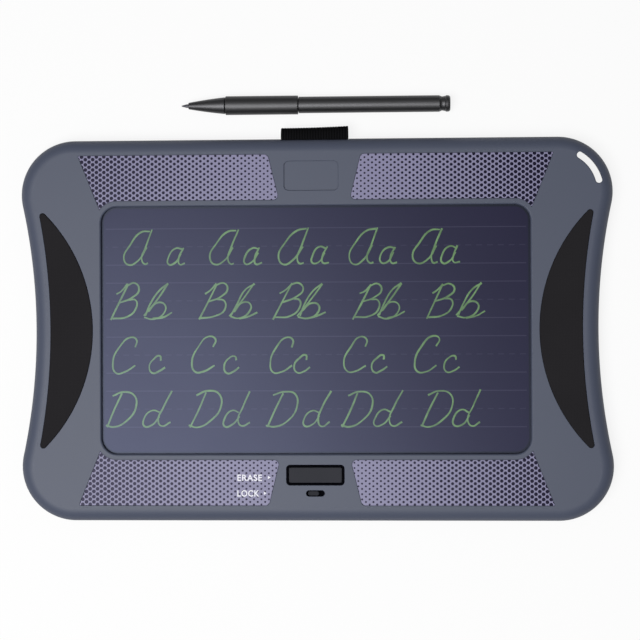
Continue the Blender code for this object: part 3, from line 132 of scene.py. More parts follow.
class Graph:
    """A material's node tree, with short ways to add and join nodes."""

    def __init__(self, name: str) -> None:
        """Start a material that holds one Principled shader.

        Args:
            name: the material's name.
        """
        self.material = bpy.data.materials.new(name)
        self.material.use_nodes = True
        self.tree = self.material.node_tree
        self.shader = self.tree.nodes["Principled BSDF"]

    def add(self, kind: str, inputs: dict | None = None, **settings: object) -> bpy.types.Node:
        """Add a node, set its properties and fill its inputs.

        Args:
            kind: the node's type name.
            inputs: a value or a socket for each input, by name or number.
            **settings: properties of the node itself.

        Returns:
            The new node.
        """
        node = self.tree.nodes.new(kind)
        for key, value in settings.items():
            setattr(node, key, value)
        for key, value in (inputs or {}).items():
            self.put(node.inputs[key], value)
        return node

    def put(self, target: bpy.types.NodeSocket, value: object) -> None:
        """Join a socket to an input, or set the input's own value.

        Args:
            target: the input.
            value: another node's output, or a plain value.
        """
        if isinstance(value, bpy.types.NodeSocket):
            self.tree.links.new(value, target)
        else:
            target.default_value = value

    def dress(self, **values: object) -> None:
        """Fill the shader's inputs, named with underscores for spaces, with values or sockets."""
        for key, value in values.items():
            self.put(self.shader.inputs[key.replace("_", " ")], value)

    def place(self, stretch: Spot = (1.0, 1.0, 1.0), turn: float = 0.0) -> bpy.types.NodeSocket:
        """Object coordinates, stretched and turned about Z.

        Args:
            stretch: the scale along each axis.
            turn: the angle about Z.

        Returns:
            The vector socket.
        """
        source = self.add("ShaderNodeTexCoord").outputs["Object"]
        inputs = {"Vector": source, "Scale": stretch, "Rotation": (0.0, 0.0, turn)}
        return self.add("ShaderNodeMapping", inputs).outputs["Vector"]

    def noise(self, size: float, detail: float = 2.0, vector: object = None) -> bpy.types.NodeSocket:
        """Noise with features of a given size.

        Args:
            size: the size of a feature in metres.
            detail: how many finer octaves it has.
            vector: the coordinates, or none for plain object coordinates.

        Returns:
            The noise value, from 0 to 1.
        """
        where = self.place() if vector is None else vector
        node = self.add("ShaderNodeTexNoise", {"Vector": where, "Scale": 1.0 / size, "Detail": detail})
        return node.outputs["Fac"]

    def calc(self, operation: str, *terms: object) -> bpy.types.NodeSocket:
        """The result of a Math node that takes the terms as its inputs, in order."""
        node = self.add("ShaderNodeMath", dict(enumerate(terms)), operation=operation)
        return node.outputs["Value"]

    def weigh(self, first: object, second: object, share: float) -> bpy.types.NodeSocket:
        """Two values mixed, with the first one counting by the share."""
        return self.calc("MULTIPLY_ADD", first, share, self.calc("MULTIPLY", second, 1 - share))

    def span(self, value: object, low: float, high: float, start: float = 0.0,
             stop: float = 1.0) -> bpy.types.NodeSocket:
        """A value mapped from one range to another.

        Args:
            value: the value to map.
            low: the result at the start.
            high: the result at the stop.
            start: where the value's range starts.
            stop: where the value's range stops.

        Returns:
            The mapped value.
        """
        node = self.add("ShaderNodeMapRange", {"Value": value, "From Min": start, "From Max": stop,
                                               "To Min": low, "To Max": high})
        return node.outputs["Result"]

    def blend(self, share: object, first: object, second: object) -> bpy.types.NodeSocket:
        """Two colours mixed by a share.

        Args:
            share: how much of the second colour shows.
            first: the colour at 0.
            second: the colour at 1.

        Returns:
            The mixed colour.
        """
        node = self.add("ShaderNodeMix", data_type="RGBA")
        colours = [socket for socket in node.inputs if socket.type == "RGBA"]
        self.put(node.inputs["Factor"], share)
        for target, value in zip(colours, (first, second)):
            self.put(target, (*value, 1.0) if isinstance(value, tuple) else value)
        return next(socket for socket in node.outputs if socket.type == "RGBA")

    def relief(self, height: object, depth: float, strength: float = 1.0) -> None:
        """Let a height from 0 to 1 bump the surface by a depth in metres."""
        node = self.add("ShaderNodeBump", {"Height": height, "Distance": depth, "Strength": strength})
        self.dress(Normal=node.outputs["Normal"])


def scaled(colour: Colour, share: float) -> Colour:
    """A colour made lighter or darker by a share."""
    return tuple(min(1.0, part * share) for part in colour)


@dataclass(frozen=True)
class Finish:
    """A surface whose tone and gloss drift a little and whose grain shows close up."""

    name: str
    colour: Colour
    roughness: float
    metallic: float = 0.0
    specular: float = 0.5
    tone: float = 0.06
    tone_size: float = 0.035
    grain_size: float = 0.0005
    grain_depth: float = 0.00002
    gloss_drift: float = 0.05
    sheen: Colour = (1.0, 1.0, 1.0)
    cloud_share: float = 0.7

    @cache
    def material(self) -> bpy.types.Material:
        """The finish's material, made once.

        Returns:
            The material.
        """
        graph = Graph(self.name)
        graph.dress(Metallic=self.metallic, Specular_IOR_Level=self.specular,
                    Specular_Tint=(*self.sheen, 1.0))
        self.paint(graph)
        return graph.material

    def tones(self, graph: Graph, drift: object) -> bpy.types.NodeSocket:
        """The finish's colour, darker where the drift is 0 and lighter where it is 1."""
        return graph.blend(drift, scaled(self.colour, 1 - self.tone), scaled(self.colour, 1 + self.tone))

    def gloss(self, graph: Graph, drift: object) -> bpy.types.NodeSocket:
        """The finish's roughness, lower where the drift is 0 and higher where it is 1."""
        return graph.span(drift, self.roughness - self.gloss_drift, self.roughness + self.gloss_drift)

    def paint(self, graph: Graph) -> None:
        """Fill the shader with drifting tone, varied gloss and fine grain.

        Args:
            graph: the material's nodes.
        """
        grain = graph.noise(self.grain_size, detail=3.0)
        drift = graph.weigh(graph.noise(self.tone_size), grain, self.cloud_share)
        graph.dress(Base_Color=self.tones(graph, drift), Roughness=self.gloss(graph, grain))
        graph.relief(grain, self.grain_depth)


@dataclass(frozen=True)
class PearlSheet(Finish):
    """Pearl lacquer on the corner panels: fine flakes that catch the light one by one."""

    flake: float = 0.00022
    flake_share: float = 0.16
    flake_gain: float = 0.48

    def paint(self, graph: Graph) -> None:
        """Fill the shader with flakes over a drifting tone.

        Args:
            graph: the material's nodes.
        """
        cells = graph.add("ShaderNodeTexVoronoi", {"Vector": graph.place(), "Scale": 1.0 / self.flake})
        spark = graph.add("ShaderNodeSeparateColor", {"Color": cells.outputs["Color"]}).outputs["Red"]
        base = self.tones(graph, graph.noise(self.tone_size))
        bright = scaled(self.colour, 1 + self.flake_gain)
        share = graph.span(spark, 0.0, self.flake_share)
        graph.dress(Base_Color=graph.blend(share, base, bright), Roughness=self.gloss(graph, spark))
        graph.relief(spark, self.grain_depth)


@dataclass(frozen=True)
class GripRubber(Finish):
    """Matte rubber with a fine moulded diamond texture."""

    pitch: float = 0.0009
    knob_depth: float = 0.00006
    knob_share: float = 0.35

    def paint(self, graph: Graph) -> None:
        """Fill the shader with crossed diagonal grooves and dusty tones.

        Args:
            graph: the material's nodes.
        """
        waves = []
        for turn in (math.pi / 4, -math.pi / 4):
            across = graph.add("ShaderNodeSeparateXYZ", {"Vector": graph.place(turn=turn)}).outputs["X"]
            waves.append(graph.calc("SINE", graph.calc("MULTIPLY", across, 2 * math.pi / self.pitch)))
        knobs = graph.span(graph.calc("MULTIPLY", *waves), 0.0, 1.0, -1.0, 1.0)
        dust = graph.noise(self.tone_size, detail=4.0)
        share = graph.weigh(knobs, dust, self.knob_share)
        graph.dress(Base_Color=self.tones(graph, share), Roughness=self.gloss(graph, dust))
        graph.relief(knobs, self.knob_depth)


@dataclass(frozen=True)
class RuledFilm(Finish):
    """Dark liquid crystal film with faint ruled guide lines behind its surface, and a black band of painted
    shade along the window's edge.
    """

    rule_colour: Colour = (0.20, 0.19, 0.30)
    rule_share: float = 0.115
    rule_width: float = 0.00042
    rule_reach: float = 0.0922
    row_pitch: float = 0.0238
    first_base: float = -0.0426
    cap_height: float = 0.015875
    dash_pitch: float = 0.0047
    dash_share: float = 0.55
    dash_strength: float = 0.65
    # Width and colour of the painted shade: a black band on the film's edge that stands for the shadow in
    # the crevice under the window's rim
    crevice_shade_width: float = 0.0009
    crevice_shade_colour: Colour = (0.003, 0.003, 0.006)

    def rules(self, graph: Graph, across: object, up: object) -> bpy.types.NodeSocket:
        """Where the ruled lines run: two solid ones and a dashed one for each row.

        Args:
            graph: the material's nodes.
            across: the X coordinate.
            up: the Y coordinate.

        Returns:
            A value that is 1 on a solid line and less on a dashed one.
        """
        half = self.rule_width / 2
        step = graph.calc("FLOORED_MODULO", graph.calc("ADD", up, half - self.first_base), self.row_pitch)
        solid = [graph.calc("COMPARE", step, place + half, half) for place in (0.0, self.cap_height)]
        dashed = graph.calc("COMPARE", step, self.cap_height / 2 + half, half)
        along = graph.calc("FLOORED_MODULO", across, self.dash_pitch)
        dashes = graph.calc("LESS_THAN", along, self.dash_pitch * self.dash_share)
        broken = graph.calc("MULTIPLY", graph.calc("MULTIPLY", dashed, dashes), self.dash_strength)
        lines = graph.calc("ADD", graph.calc("ADD", *solid), broken)
        rows = graph.calc("COMPARE", up, 0.0, half * 2 - self.first_base + self.row_pitch / 4)
        inside = graph.calc("MULTIPLY", rows, graph.calc("COMPARE", across, 0.0, self.rule_reach))
        return graph.calc("MULTIPLY", lines, inside)

    def edge(self, graph: Graph, across: object, up: object) -> bpy.types.NodeSocket:
        """Where the painted shade runs along the window's edge: a black band that stands for the shadow in
        the crevice between film and bezel.

        Args:
            graph: the material's nodes.
            across: the X coordinate.
            up: the Y coordinate.

        Returns:
            A value that is 1 on the painted shade band.
        """
        past = [graph.calc("SUBTRACT", graph.calc("ABSOLUTE", value), half - WINDOW_CORNER)
                for value, half in zip((across, up), window_half())]
        legs = [graph.calc("POWER", graph.calc("MAXIMUM", value, 0.0), 2.0) for value in past]
        reach = graph.calc("SQRT", graph.calc("ADD", *legs))
        inner = graph.calc("MINIMUM", graph.calc("MAXIMUM", *past), 0.0)
        return graph.calc("GREATER_THAN", graph.calc("ADD", reach, inner), WINDOW_CORNER - self.crevice_shade_width)

    def paint(self, graph: Graph) -> None:
        """Fill the shader with the rules, the painted shade band along the window's edge and a cloudy tone.

        Args:
            graph: the material's nodes.
        """
        parts = graph.add("ShaderNodeSeparateXYZ", {"Vector": graph.place()})
        across, up = parts.outputs["X"], parts.outputs["Y"]
        share = graph.calc("MULTIPLY", self.rules(graph, across, up), self.rule_share)
        cloud = graph.noise(self.tone_size, detail=3.0)
        ruled = graph.blend(share, self.tones(graph, cloud), self.rule_colour)
        # The painted crevice shade is blended in along the window's edge
        graph.dress(Base_Color=graph.blend(self.edge(graph, across, up), ruled, self.crevice_shade_colour),
                    Roughness=self.gloss(graph, cloud))
        graph.relief(graph.noise(self.grain_size), self.grain_depth)


@dataclass(frozen=True)
class StylusTrace(Finish):
    """The light green trace that a stylus leaves, uneven with the hand's pressure."""

    faint: float = 0.6
    press_span: Point = (0.32, 0.68)

    def paint(self, graph: Graph) -> None:
        """Fill the shader with a trace that thins out in places.

        Args:
            graph: the material's nodes.
        """
        press = graph.span(graph.noise(self.tone_size, detail=3.0), 0.0, 1.0, *self.press_span)
        graph.dress(Base_Color=graph.blend(press, scaled(self.colour, self.faint), self.colour),
                    Roughness=self.gloss(graph, press))
        graph.relief(graph.noise(self.grain_size), self.grain_depth)


@dataclass(frozen=True)
class DrawnTube(Finish):
    """Satin lacquer over a drawn tube, with faint lines along it."""

    line_size: float = 0.00025
    line_stretch: float = 0.02

    def paint(self, graph: Graph) -> None:
        """Fill the shader with fine lines along X and a drifting tone.

        Args:
            graph: the material's nodes.
        """
        lines = graph.noise(self.line_size, vector=graph.place((self.line_stretch, 1.0, 1.0)))
        cloud = graph.noise(self.tone_size, detail=3.0)
        graph.dress(Base_Color=self.tones(graph, cloud), Roughness=self.gloss(graph, lines))
        graph.relief(lines, self.grain_depth)


@dataclass(frozen=True)
class KnitElastic(Finish):
    """Knitted elastic webbing: short stitches across each rib, with painted shade that is darker in the
    valleys between ribs and lighter on their crests.
    """

    stitch: float = 0.0007
    stitch_lean: float = 2.2
    stitch_share: float = 0.6
    rib: float = 0.00118
    rib_shade_share: float = 0.6

    def paint(self, graph: Graph) -> None:
        """Fill the shader with stitches along the ribs, fuzzy yarn and painted shade across the ribs.

        Args:
            graph: the material's nodes.
        """
        parts = graph.add("ShaderNodeSeparateXYZ", {"Vector": graph.place()})
        run = graph.calc("ADD", parts.outputs["Y"], parts.outputs["Z"])
        turn = graph.calc("MULTIPLY", parts.outputs["X"], math.pi / self.rib)
        lean = graph.calc("ABSOLUTE", graph.calc("COSINE", turn))
        shift = graph.calc("MULTIPLY", lean, self.stitch_lean)
        phase = graph.calc("MULTIPLY_ADD", run, 2 * math.pi / self.stitch, shift)
        stitches = graph.span(graph.calc("SINE", phase), 0.0, 1.0, -1.0, 1.0)
        fuzz = graph.noise(self.grain_size, detail=4.0)
        yarn = graph.weigh(stitches, fuzz, self.stitch_share)
        # Painted shade: the tone follows the rib, darker in the valleys and lighter on the crests
        share = graph.weigh(lean, yarn, self.rib_shade_share)
        graph.dress(Base_Color=self.tones(graph, share), Roughness=self.gloss(graph, fuzz))
        graph.relief(yarn, self.grain_depth)


BLUE_SHEEN = (0.62, 0.70, 1.0)
PLUM_SHEEN = (0.72, 0.68, 1.0)
HOUSING = Finish("housing_plastic", (0.065, 0.077, 0.118), 0.54, specular=0.5, grain_size=0.00035, tone=0.03)
PEARL = PearlSheet("pearl_panel", (0.222, 0.213, 0.340), 0.45, specular=0.35, grain_depth=0.000004)
# Painted shade: the near-black colour of the holes' walls and floors stands for the shadow inside them
HOLE_SHADE = Finish("hole_shadow", (0.002, 0.001, 0.012), 0.35, specular=0.23, tone=0.2, tone_size=0.004,
                  gloss_drift=0.02, sheen=PLUM_SHEEN)
RUBBER = GripRubber("moulded_rubber", (0.0185, 0.0175, 0.0195), 0.8, specular=0.05, tone=0.3)
# Black rubber of the key's seal ring, also used as painted shade on the lock slider's flange
SEAL_AND_SHADE = Finish("black_seal_and_shade", (0.0012, 0.0012, 0.003), 0.6, specular=0.02, tone=0.2, tone_size=0.004)
KEYCAP = Finish("key_plastic", (0.031, 0.032, 0.040), 0.6, specular=0.1, tone=0.08, tone_size=0.012)
SLIDER = Finish("slider_plastic", (0.016, 0.017, 0.023), 0.5, specular=0.1, tone=0.1, tone_size=0.003)
FILM = RuledFilm("lcd_film", (0.008, 0.004, 0.022), 0.35, tone=0.1, specular=0.42, grain_depth=0.000002,
                 gloss_drift=0.02, sheen=BLUE_SHEEN)
TRACE = StylusTrace("pressed_trace", (0.158, 0.296, 0.108), 0.35, specular=0.42, tone_size=0.004,
                    grain_depth=0.000002, gloss_drift=0.02, sheen=BLUE_SHEEN)
PRINT = Finish("label_print", (0.84, 0.84, 0.90), 0.6, tone=0.04, tone_size=0.002, grain_depth=0.000004)
# The large tone swing carries the painted rib shade as well as the yarn's own tone
ELASTIC = KnitElastic("elastic_webbing", (0.0045, 0.0045, 0.0052), 0.85, specular=0.03, tone=0.9,
                      grain_size=0.0002, grain_depth=0.00008)
TUBE = DrawnTube("stylus_lacquer", (0.087, 0.087, 0.091), 0.46, metallic=1.0, grain_depth=0.000004)
SLEEVE = DrawnTube("sleeve_lacquer", (0.082, 0.082, 0.085), 0.48, metallic=1.0, grain_depth=0.000006)
NIB = Finish("nib_plastic", (0.055, 0.055, 0.072), 0.35, tone=0.1, tone_size=0.002)
STEEL = Finish("plated_steel", (0.50, 0.50, 0.52), 0.32, metallic=1.0, tone=0.08, tone_size=0.002,
               grain_size=0.0002, grain_depth=0.000006)
FOAM = Finish("black_foam", (0.02, 0.02, 0.02), 0.95, tone=0.3, tone_size=0.001, grain_depth=0.0001)
BACKING = Finish("backing_sheet", (0.35, 0.35, 0.33), 0.6, tone=0.05)
FLEX = Finish("flex_film", (0.42, 0.20, 0.05), 0.35, tone=0.12, tone_size=0.004)
SOCKET = Finish("connector_plastic", (0.72, 0.69, 0.62), 0.5, tone=0.05, tone_size=0.003)
LAMINATE = Finish("board_laminate", (0.03, 0.14, 0.06), 0.4, tone=0.15, tone_size=0.003)
PACKAGE = Finish("component_package", (0.014, 0.014, 0.016), 0.45, tone=0.2, tone_size=0.002)
STEM = Finish("stem_plastic", (0.38, 0.05, 0.04), 0.5, tone=0.1, tone_size=0.002)
CERAMIC = Finish("capacitor_ceramic", (0.48, 0.34, 0.19), 0.5, tone=0.1, tone_size=0.001)


def arc(centre: Point, radius: float, start: float, stop: float, steps: int) -> Outline:
    """Points along a circular arc in as many chords as steps, both ends included."""
    angles = [start + (stop - start) * i / steps for i in range(steps + 1)]
    return [(centre[0] + radius * math.cos(a), centre[1] + radius * math.sin(a)) for a in angles]


def flipped(outline: Outline) -> Outline:
    """A stretch of outline mirrored in the X axis and run backwards."""
    return [(x, -y) for x, y in reversed(outline)]


def turned_over(outline: Outline) -> Outline:
    """A stretch of outline mirrored in the Y axis and run backwards."""
    return [(-x, y) for x, y in reversed(outline)]


def level(outline: Outline, height: float) -> Ring:
    """An outline at a height."""
    return [(x, y, height) for x, y in outline]


def rectangle(width: float, height: float, radius: float, centre: Point = (0.0, 0.0),
              steps: int = 8) -> Outline:
    """A rectangle's outline with round corners.

    Args:
        width: its size along X.
        height: its size along Y.
        radius: the radius of its corners.
        centre: its middle.
        steps: the chords in each corner.

    Returns:
        The outline.
    """
    corner = arc((width / 2 - radius, height / 2 - radius), radius, 0.0, QUARTER, steps)
    right = flipped(corner) + corner
    if abs(height / 2 - radius) < TOUCH:
        right = flipped(corner) + corner[1:]
    return [(x + centre[0], y + centre[1]) for x, y in right + turned_over(right)]


def rounded_box(size: Point, corner: float, centre: Point) -> Grown:
    """A rounded rectangle's outline, as a function of its growth all round."""
    return lambda grow: rectangle(size[0] + 2 * grow, size[1] + 2 * grow, corner + grow, centre)


def fillet(before: Point, corner: Point, after: Point, radius: float, steps: int = 8) -> Outline:
    """Points that round the corner between two straight edges.

    Args:
        before: a point on the edge that arrives.
        corner: the sharp corner.
        after: a point on the edge that leaves.
        radius: the radius of the rounding.
        steps: the chords in it.

    Returns:
        The points.
    """
    tip = Vector(corner)
    back = (Vector(before) - tip).normalized()
    ahead = (Vector(after) - tip).normalized()
    half = back.angle(ahead) / 2
    centre = tip + (back + ahead).normalized() * radius / math.sin(half)
    first = tip + back * radius / math.tan(half) - centre
    last = tip + ahead * radius / math.tan(half) - centre
    start = math.atan2(first.y, first.x)
    sweep = (math.atan2(last.y, last.x) - start + math.pi) % (2 * math.pi) - math.pi
    return arc(tuple(centre), radius, start, start + sweep, steps)


@dataclass(frozen=True)
class Drawing:
    """The tablet's plan in metres: a few sizes and the outlines that follow from them."""

    half_width: float = field(default_factory=lambda: highest("front_bezel").x)
    half_height: float = field(default_factory=lambda: highest("front_bezel").y)
    face: float = field(default_factory=lambda: highest("upper_left_panel").z)
    parting: float = field(default_factory=lambda: lowest("front_bezel").z - GAP / 2)
    corner: float = 0.024
    waist: float = 0.0064
    wall: float = 0.003
    tongue: float = 0.0013
    slot_wall: float = 0.0009
    notch_depth: float = 0.004
    notch_half_height: float = 0.00385
    panel_screen_gap: float = 0.0026
    panel_edge_gap: float = 0.0072
    panel_half_gap: float = 0.0155
    panel_inner_slope: float = math.radians(76.1)
    panel_outer_slope: float = math.radians(68.2)
    panel_tip_angle: float = math.radians(37.7)
    panel_corner: float = 0.002
    panel_point: float = 0.0004
    grip_margin: float = 0.0075
    grip_screen_gap: float = 0.0038
    grip_inner_radius: float = 0.073
    grip_tip: float = 0.0013
    lanyard_radius: float = 0.01805
    lanyard_width: float = 0.0029
    lanyard_draft: float = 0.0009
    lanyard_flare: float = 0.0021
    lanyard_start: float = math.radians(15.0)
    lanyard_stop: float = math.radians(58.6)
    flank_steps: int = 47
    corner_steps: int = 36
    window_steps: int = 20
    hollow_steps: int = 16
    point_steps: int = 4
    crescent_steps: tuple[int, int] = (35, 61)
    slot_steps: int = 20
    cap_steps: int = 10

    @property
    def corner_centre(self) -> Point:
        """The centre of the upper right housing corner."""
        return self.half_width - self.corner, self.half_height - self.corner

    @property
    def window_corner_centre(self) -> Point:
        """The centre of the window's upper right corner."""
        half_width, half_height = window_half()
        return half_width - WINDOW_CORNER, half_height - WINDOW_CORNER

    @property
    def flank_radius(self) -> float:
        """The radius of a flank's arc, which is tangent to both corners on its side."""
        reach = self.corner - self.waist
        return (reach**2 + self.corner_centre[1] ** 2 - self.corner**2) / (2 * self.waist)

    @property
    def flank_centre(self) -> Point:
        """The centre of the right flank's arc."""
        return self.half_width - self.waist + self.flank_radius, 0.0

    def housing(self, grow: float) -> Outline:
        """The hourglass outline, grown all round.

        Args:
            grow: how far it is grown.

        Returns:
            The outline.
        """
        turn = math.asin(self.corner_centre[1] / (self.flank_radius + self.corner))
        start, stop = math.pi + turn, math.pi - turn
        flank = arc(self.flank_centre, self.flank_radius - grow, start, stop, self.flank_steps)
        corner = arc(self.corner_centre, self.corner + grow, -turn, QUARTER, self.corner_steps)
        right = flipped(corner) + flank[1:-1] + corner
        return right + turned_over(right)

    def window(self, grow: float) -> Outline:
        """The screen window's outline, grown all round."""
        width, height = (2 * (half + grow) for half in window_half())
        return rectangle(width, height, WINDOW_CORNER + grow, steps=self.window_steps)

    def panel(self, grow: float) -> Outline:
        """The upper right panel's outline, grown all round.

        Args:
            grow: how far it is grown.

        Returns:
            The outline.
        """
        bottom = window_half()[1] + self.panel_screen_gap - grow
        top = self.half_height - self.panel_edge_gap + grow
        hub = self.window_corner_centre
        bend = bottom - hub[1]
        inner_x = self.panel_half_gap - grow / math.sin(self.panel_inner_slope)
        inner_low = (inner_x - grow / math.tan(self.panel_inner_slope), bottom)
        inner_high = (inner_low[0] + (top - bottom) / math.tan(self.panel_inner_slope), top)
        along = Vector((math.cos(self.panel_outer_slope), math.sin(self.panel_outer_slope)))
        reach = WINDOW_CORNER + self.panel_screen_gap
        start = reach * Vector((math.cos(self.panel_tip_angle), math.sin(self.panel_tip_angle)))
        start += grow * Vector((along.y, -along.x))
        run = start.dot(along)
        tip = start + along * (math.sqrt(run**2 - start.length_squared + bend**2) - run)
        outer_x = hub[0] + tip.x + (top - hub[1] - tip.y) / math.tan(self.panel_outer_slope)
        hollow = arc(hub, bend, QUARTER, math.atan2(tip.y, tip.x), self.hollow_steps)
        outer_high = (outer_x, top)
        corner, point = self.panel_corner + grow, self.panel_point + grow
        return (fillet(inner_high, inner_low, hollow[0], corner) + hollow
                + fillet(hollow[-1], outer_high, inner_high, point, self.point_steps)
                + fillet(outer_high, inner_high, inner_low, corner))

    def grip(self, grow: float) -> Outline:
        """The right grip's crescent, grown all round.

        Args:
            grow: how far it is grown.

        Returns:
            Two arcs with a round tip at each end.
        """
        tip_radius = self.grip_tip + grow
        outer_radius = self.flank_radius + self.grip_margin - grow
        inner_radius = self.grip_inner_radius + grow
        outer_x = self.flank_centre[0]
        inner_x = window_half()[0] + self.grip_screen_gap + self.grip_inner_radius
        outer_reach = outer_radius + tip_radius
        inner_reach = inner_radius - tip_radius
        tip_x = (outer_x**2 - inner_x**2 - outer_reach**2 + inner_reach**2) / (2 * (outer_x - inner_x))
        tip_y = math.sqrt(inner_reach**2 - (tip_x - inner_x) ** 2)
        outer_angle = math.atan2(tip_y, tip_x - outer_x)
        inner_angle = math.atan2(tip_y, tip_x - inner_x)
        outer_steps, inner_steps = self.crescent_steps
        flank = arc((outer_x, 0.0), outer_radius, 2 * math.pi - outer_angle, outer_angle, outer_steps)
        tip = arc((tip_x, tip_y), tip_radius, outer_angle - math.pi, inner_angle, self.cap_steps)
        belly = arc((inner_x, 0.0), inner_radius, inner_angle, 2 * math.pi - inner_angle, inner_steps)
        return flank[1:] + tip[1:] + belly[1:] + flipped(tip)[1:]

    def lanyard(self, grow: float, flare: float = 0.0) -> Outline:
        """The lanyard slot's curved outline with round ends.

        Args:
            grow: how far it is grown all round.
            flare: how much wider it is on its outer side.

        Returns:
            The outline.
        """
        half = (self.lanyard_width + flare) / 2 + grow
        centre, radius = self.corner_centre, self.lanyard_radius + flare / 2
        start, stop = self.lanyard_start, self.lanyard_stop
        outer = arc(centre, radius + half, start, stop, self.slot_steps)
        inner = arc(centre, radius - half, stop, start, self.slot_steps)
        far_end, near_end = (arc(centre, radius, angle, angle, 1)[0] for angle in (stop, start))
        far_cap = arc(far_end, half, stop, stop + math.pi, self.cap_steps)
        near_cap = arc(near_end, half, start + math.pi, start + 2 * math.pi, self.cap_steps)
        return outer + far_cap[1:-1] + inner + near_cap[1:-1]


def deselect() -> None:
    """Leave edit mode and deselect everything."""
    if bpy.context.mode != "OBJECT":
        bpy.ops.object.mode_set(mode="OBJECT")
    bpy.ops.object.select_all(action="DESELECT")


def take(piece: bpy.types.Object) -> None:
    """Make a piece the only selected one.

    Args:
        piece: the piece to take in hand.
    """
    deselect()
    piece.select_set(True)
    bpy.context.view_layer.objects.active = piece


def recalculated(piece: bpy.types.Object) -> bpy.types.Object:
    """Turn a closed piece's faces outwards.

    Args:
        piece: the piece.

    Returns:
        The same piece.
    """
    take(piece)
    bpy.ops.object.mode_set(mode="EDIT")
    bpy.ops.mesh.select_all(action="SELECT")
    bpy.ops.mesh.normals_make_consistent(inside=False)
    bpy.ops.object.mode_set(mode="OBJECT")
    return piece


def ordered(piece: bpy.types.Object) -> bpy.types.Object:
    """Put a piece's edges and faces in the same order each run, which extrude doesn't do.

    Args:
        piece: the piece.

    Returns:
        The same piece.
    """
    take(piece)
    cursor = bpy.context.scene.cursor
    cursor.location = SORT_SPOT
    bpy.ops.object.mode_set(mode="EDIT")
    bpy.ops.mesh.select_all(action="SELECT")
    bpy.ops.mesh.sort_elements(type="CURSOR_DISTANCE", elements={"EDGE", "FACE"})
    bpy.ops.object.mode_set(mode="OBJECT")
    cursor.location = (0.0, 0.0, 0.0)
    return piece


def lofted(name: str, rings: Sequence[Ring], tube: bool = False) -> bpy.types.Object:
    """A circle dragged onto a first ring and extruded on to each next one.

    Args:
        name: the piece's name.
        rings: rings of as many points each, from one end to the other.
        tube: whether the last ring is bridged back to the first, with no caps.

    Returns:
        The closed piece.
    """
    deselect()
    bpy.ops.mesh.primitive_circle_add(vertices=len(rings[0]), fill_type="NOTHING" if tube else "NGON")
    piece = bpy.context.active_object
    piece.name = name
    corners = list(piece.data.vertices)
    for number, ring in enumerate(rings):
        if number:
            bpy.ops.object.mode_set(mode="EDIT")
            bpy.ops.mesh.extrude_region_move()
            bpy.ops.object.mode_set(mode="OBJECT")
            fresh = {tuple(v.co): v for v in piece.data.vertices if v.select}
            corners = [fresh[key] for key in keys]
        for corner, spot in zip(corners, ring):
            corner.co = spot
        keys = [tuple(corner.co) for corner in corners]
    if tube:
        bridge_ends(piece, len(rings[0]))
    return recalculated(ordered(piece))


def bridge_ends(piece: bpy.types.Object, count: int) -> None:
    """Bridge a tube's last ring, which is still selected, to its first.

    Args:
        piece: the open tube.
        count: the points in a ring.
    """
    bpy.ops.object.mode_set(mode="EDIT")
    bpy.ops.mesh.select_mode(type="VERT")
    bpy.ops.object.mode_set(mode="OBJECT")
    for corner in list(piece.data.vertices)[:count]:
        corner.select = True
    bpy.ops.object.mode_set(mode="EDIT")
    bpy.ops.mesh.select_mode(type="EDGE")
    bpy.ops.mesh.bridge_edge_loops()
    bpy.ops.object.mode_set(mode="OBJECT")


def stacked(outline: Grown, levels: Iterable[Point]) -> list[Ring]:
    """Rings of a growing outline, one for each pair of a growth and a height."""
    return [level(outline(grow), height) for grow, height in levels]


def prism(name: str, outline: Outline, low: float, high: float) -> bpy.types.Object:
    """An outline raised from one height to another, closed at both ends."""
    return lofted(name, [level(outline, low), level(outline, high)])


def combine(piece: bpy.types.Object, operation: str, tools: Iterable[bpy.types.Object]) -> None:
    """Cut a piece with tools or join them to it, and remove the tools.

    Args:
        piece: the piece to change.
        operation: DIFFERENCE or UNION.
        tools: closed meshes.
    """
    for tool in tools:
        step = piece.modifiers.new(tool.name, "BOOLEAN")
        step.operation = operation
        step.solver = "EXACT"
        step.object = tool
        take(piece)
        bpy.ops.object.modifier_apply(modifier=step.name)
        mesh = tool.data
        bpy.data.objects.remove(tool)
        bpy.data.meshes.remove(mesh)


def cut(piece: bpy.types.Object, *tools: bpy.types.Object) -> None:
    """Cut a piece with tools."""
    combine(piece, "DIFFERENCE", tools)


def join(piece: bpy.types.Object, *tools: bpy.types.Object) -> None:
    """Join tools to a piece."""
    combine(piece, "UNION", tools)


def smoothed(piece: bpy.types.Object) -> bpy.types.Object:
    """Shade a piece smooth over its roundings, with its flat faces kept flat.

    Args:
        piece: the piece.

    Returns:
        The same piece.
    """
    take(piece)
    bpy.ops.object.shade_smooth_by_angle(angle=SMOOTH_ANGLE)
    even = piece.modifiers.new("even", "WEIGHTED_NORMAL")
    even.keep_sharp = True
    bpy.ops.object.modifier_apply(modifier=even.name)
    return piece


def fitted(piece: bpy.types.Object, finish: Finish, body: Body, slot: str, *nodes: str) -> bpy.types.Object:
    """Dress a finished piece, let it ride on its body and let it stand for frame nodes.

    Args:
        piece: the piece.
        finish: its finish.
        body: the body it moves with.
        slot: a material slot's name; not used.
        *nodes: the frame nodes that it replaces.

    Returns:
        The same piece.
    """
    if not piece.data.materials:
        piece.data.materials.append(finish.material())
    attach(piece, body.value)
    if nodes:
        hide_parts(*nodes)
    LOG.info("%s rides on %s with %d faces", piece.name, body.value, len(piece.data.polygons))
    return piece


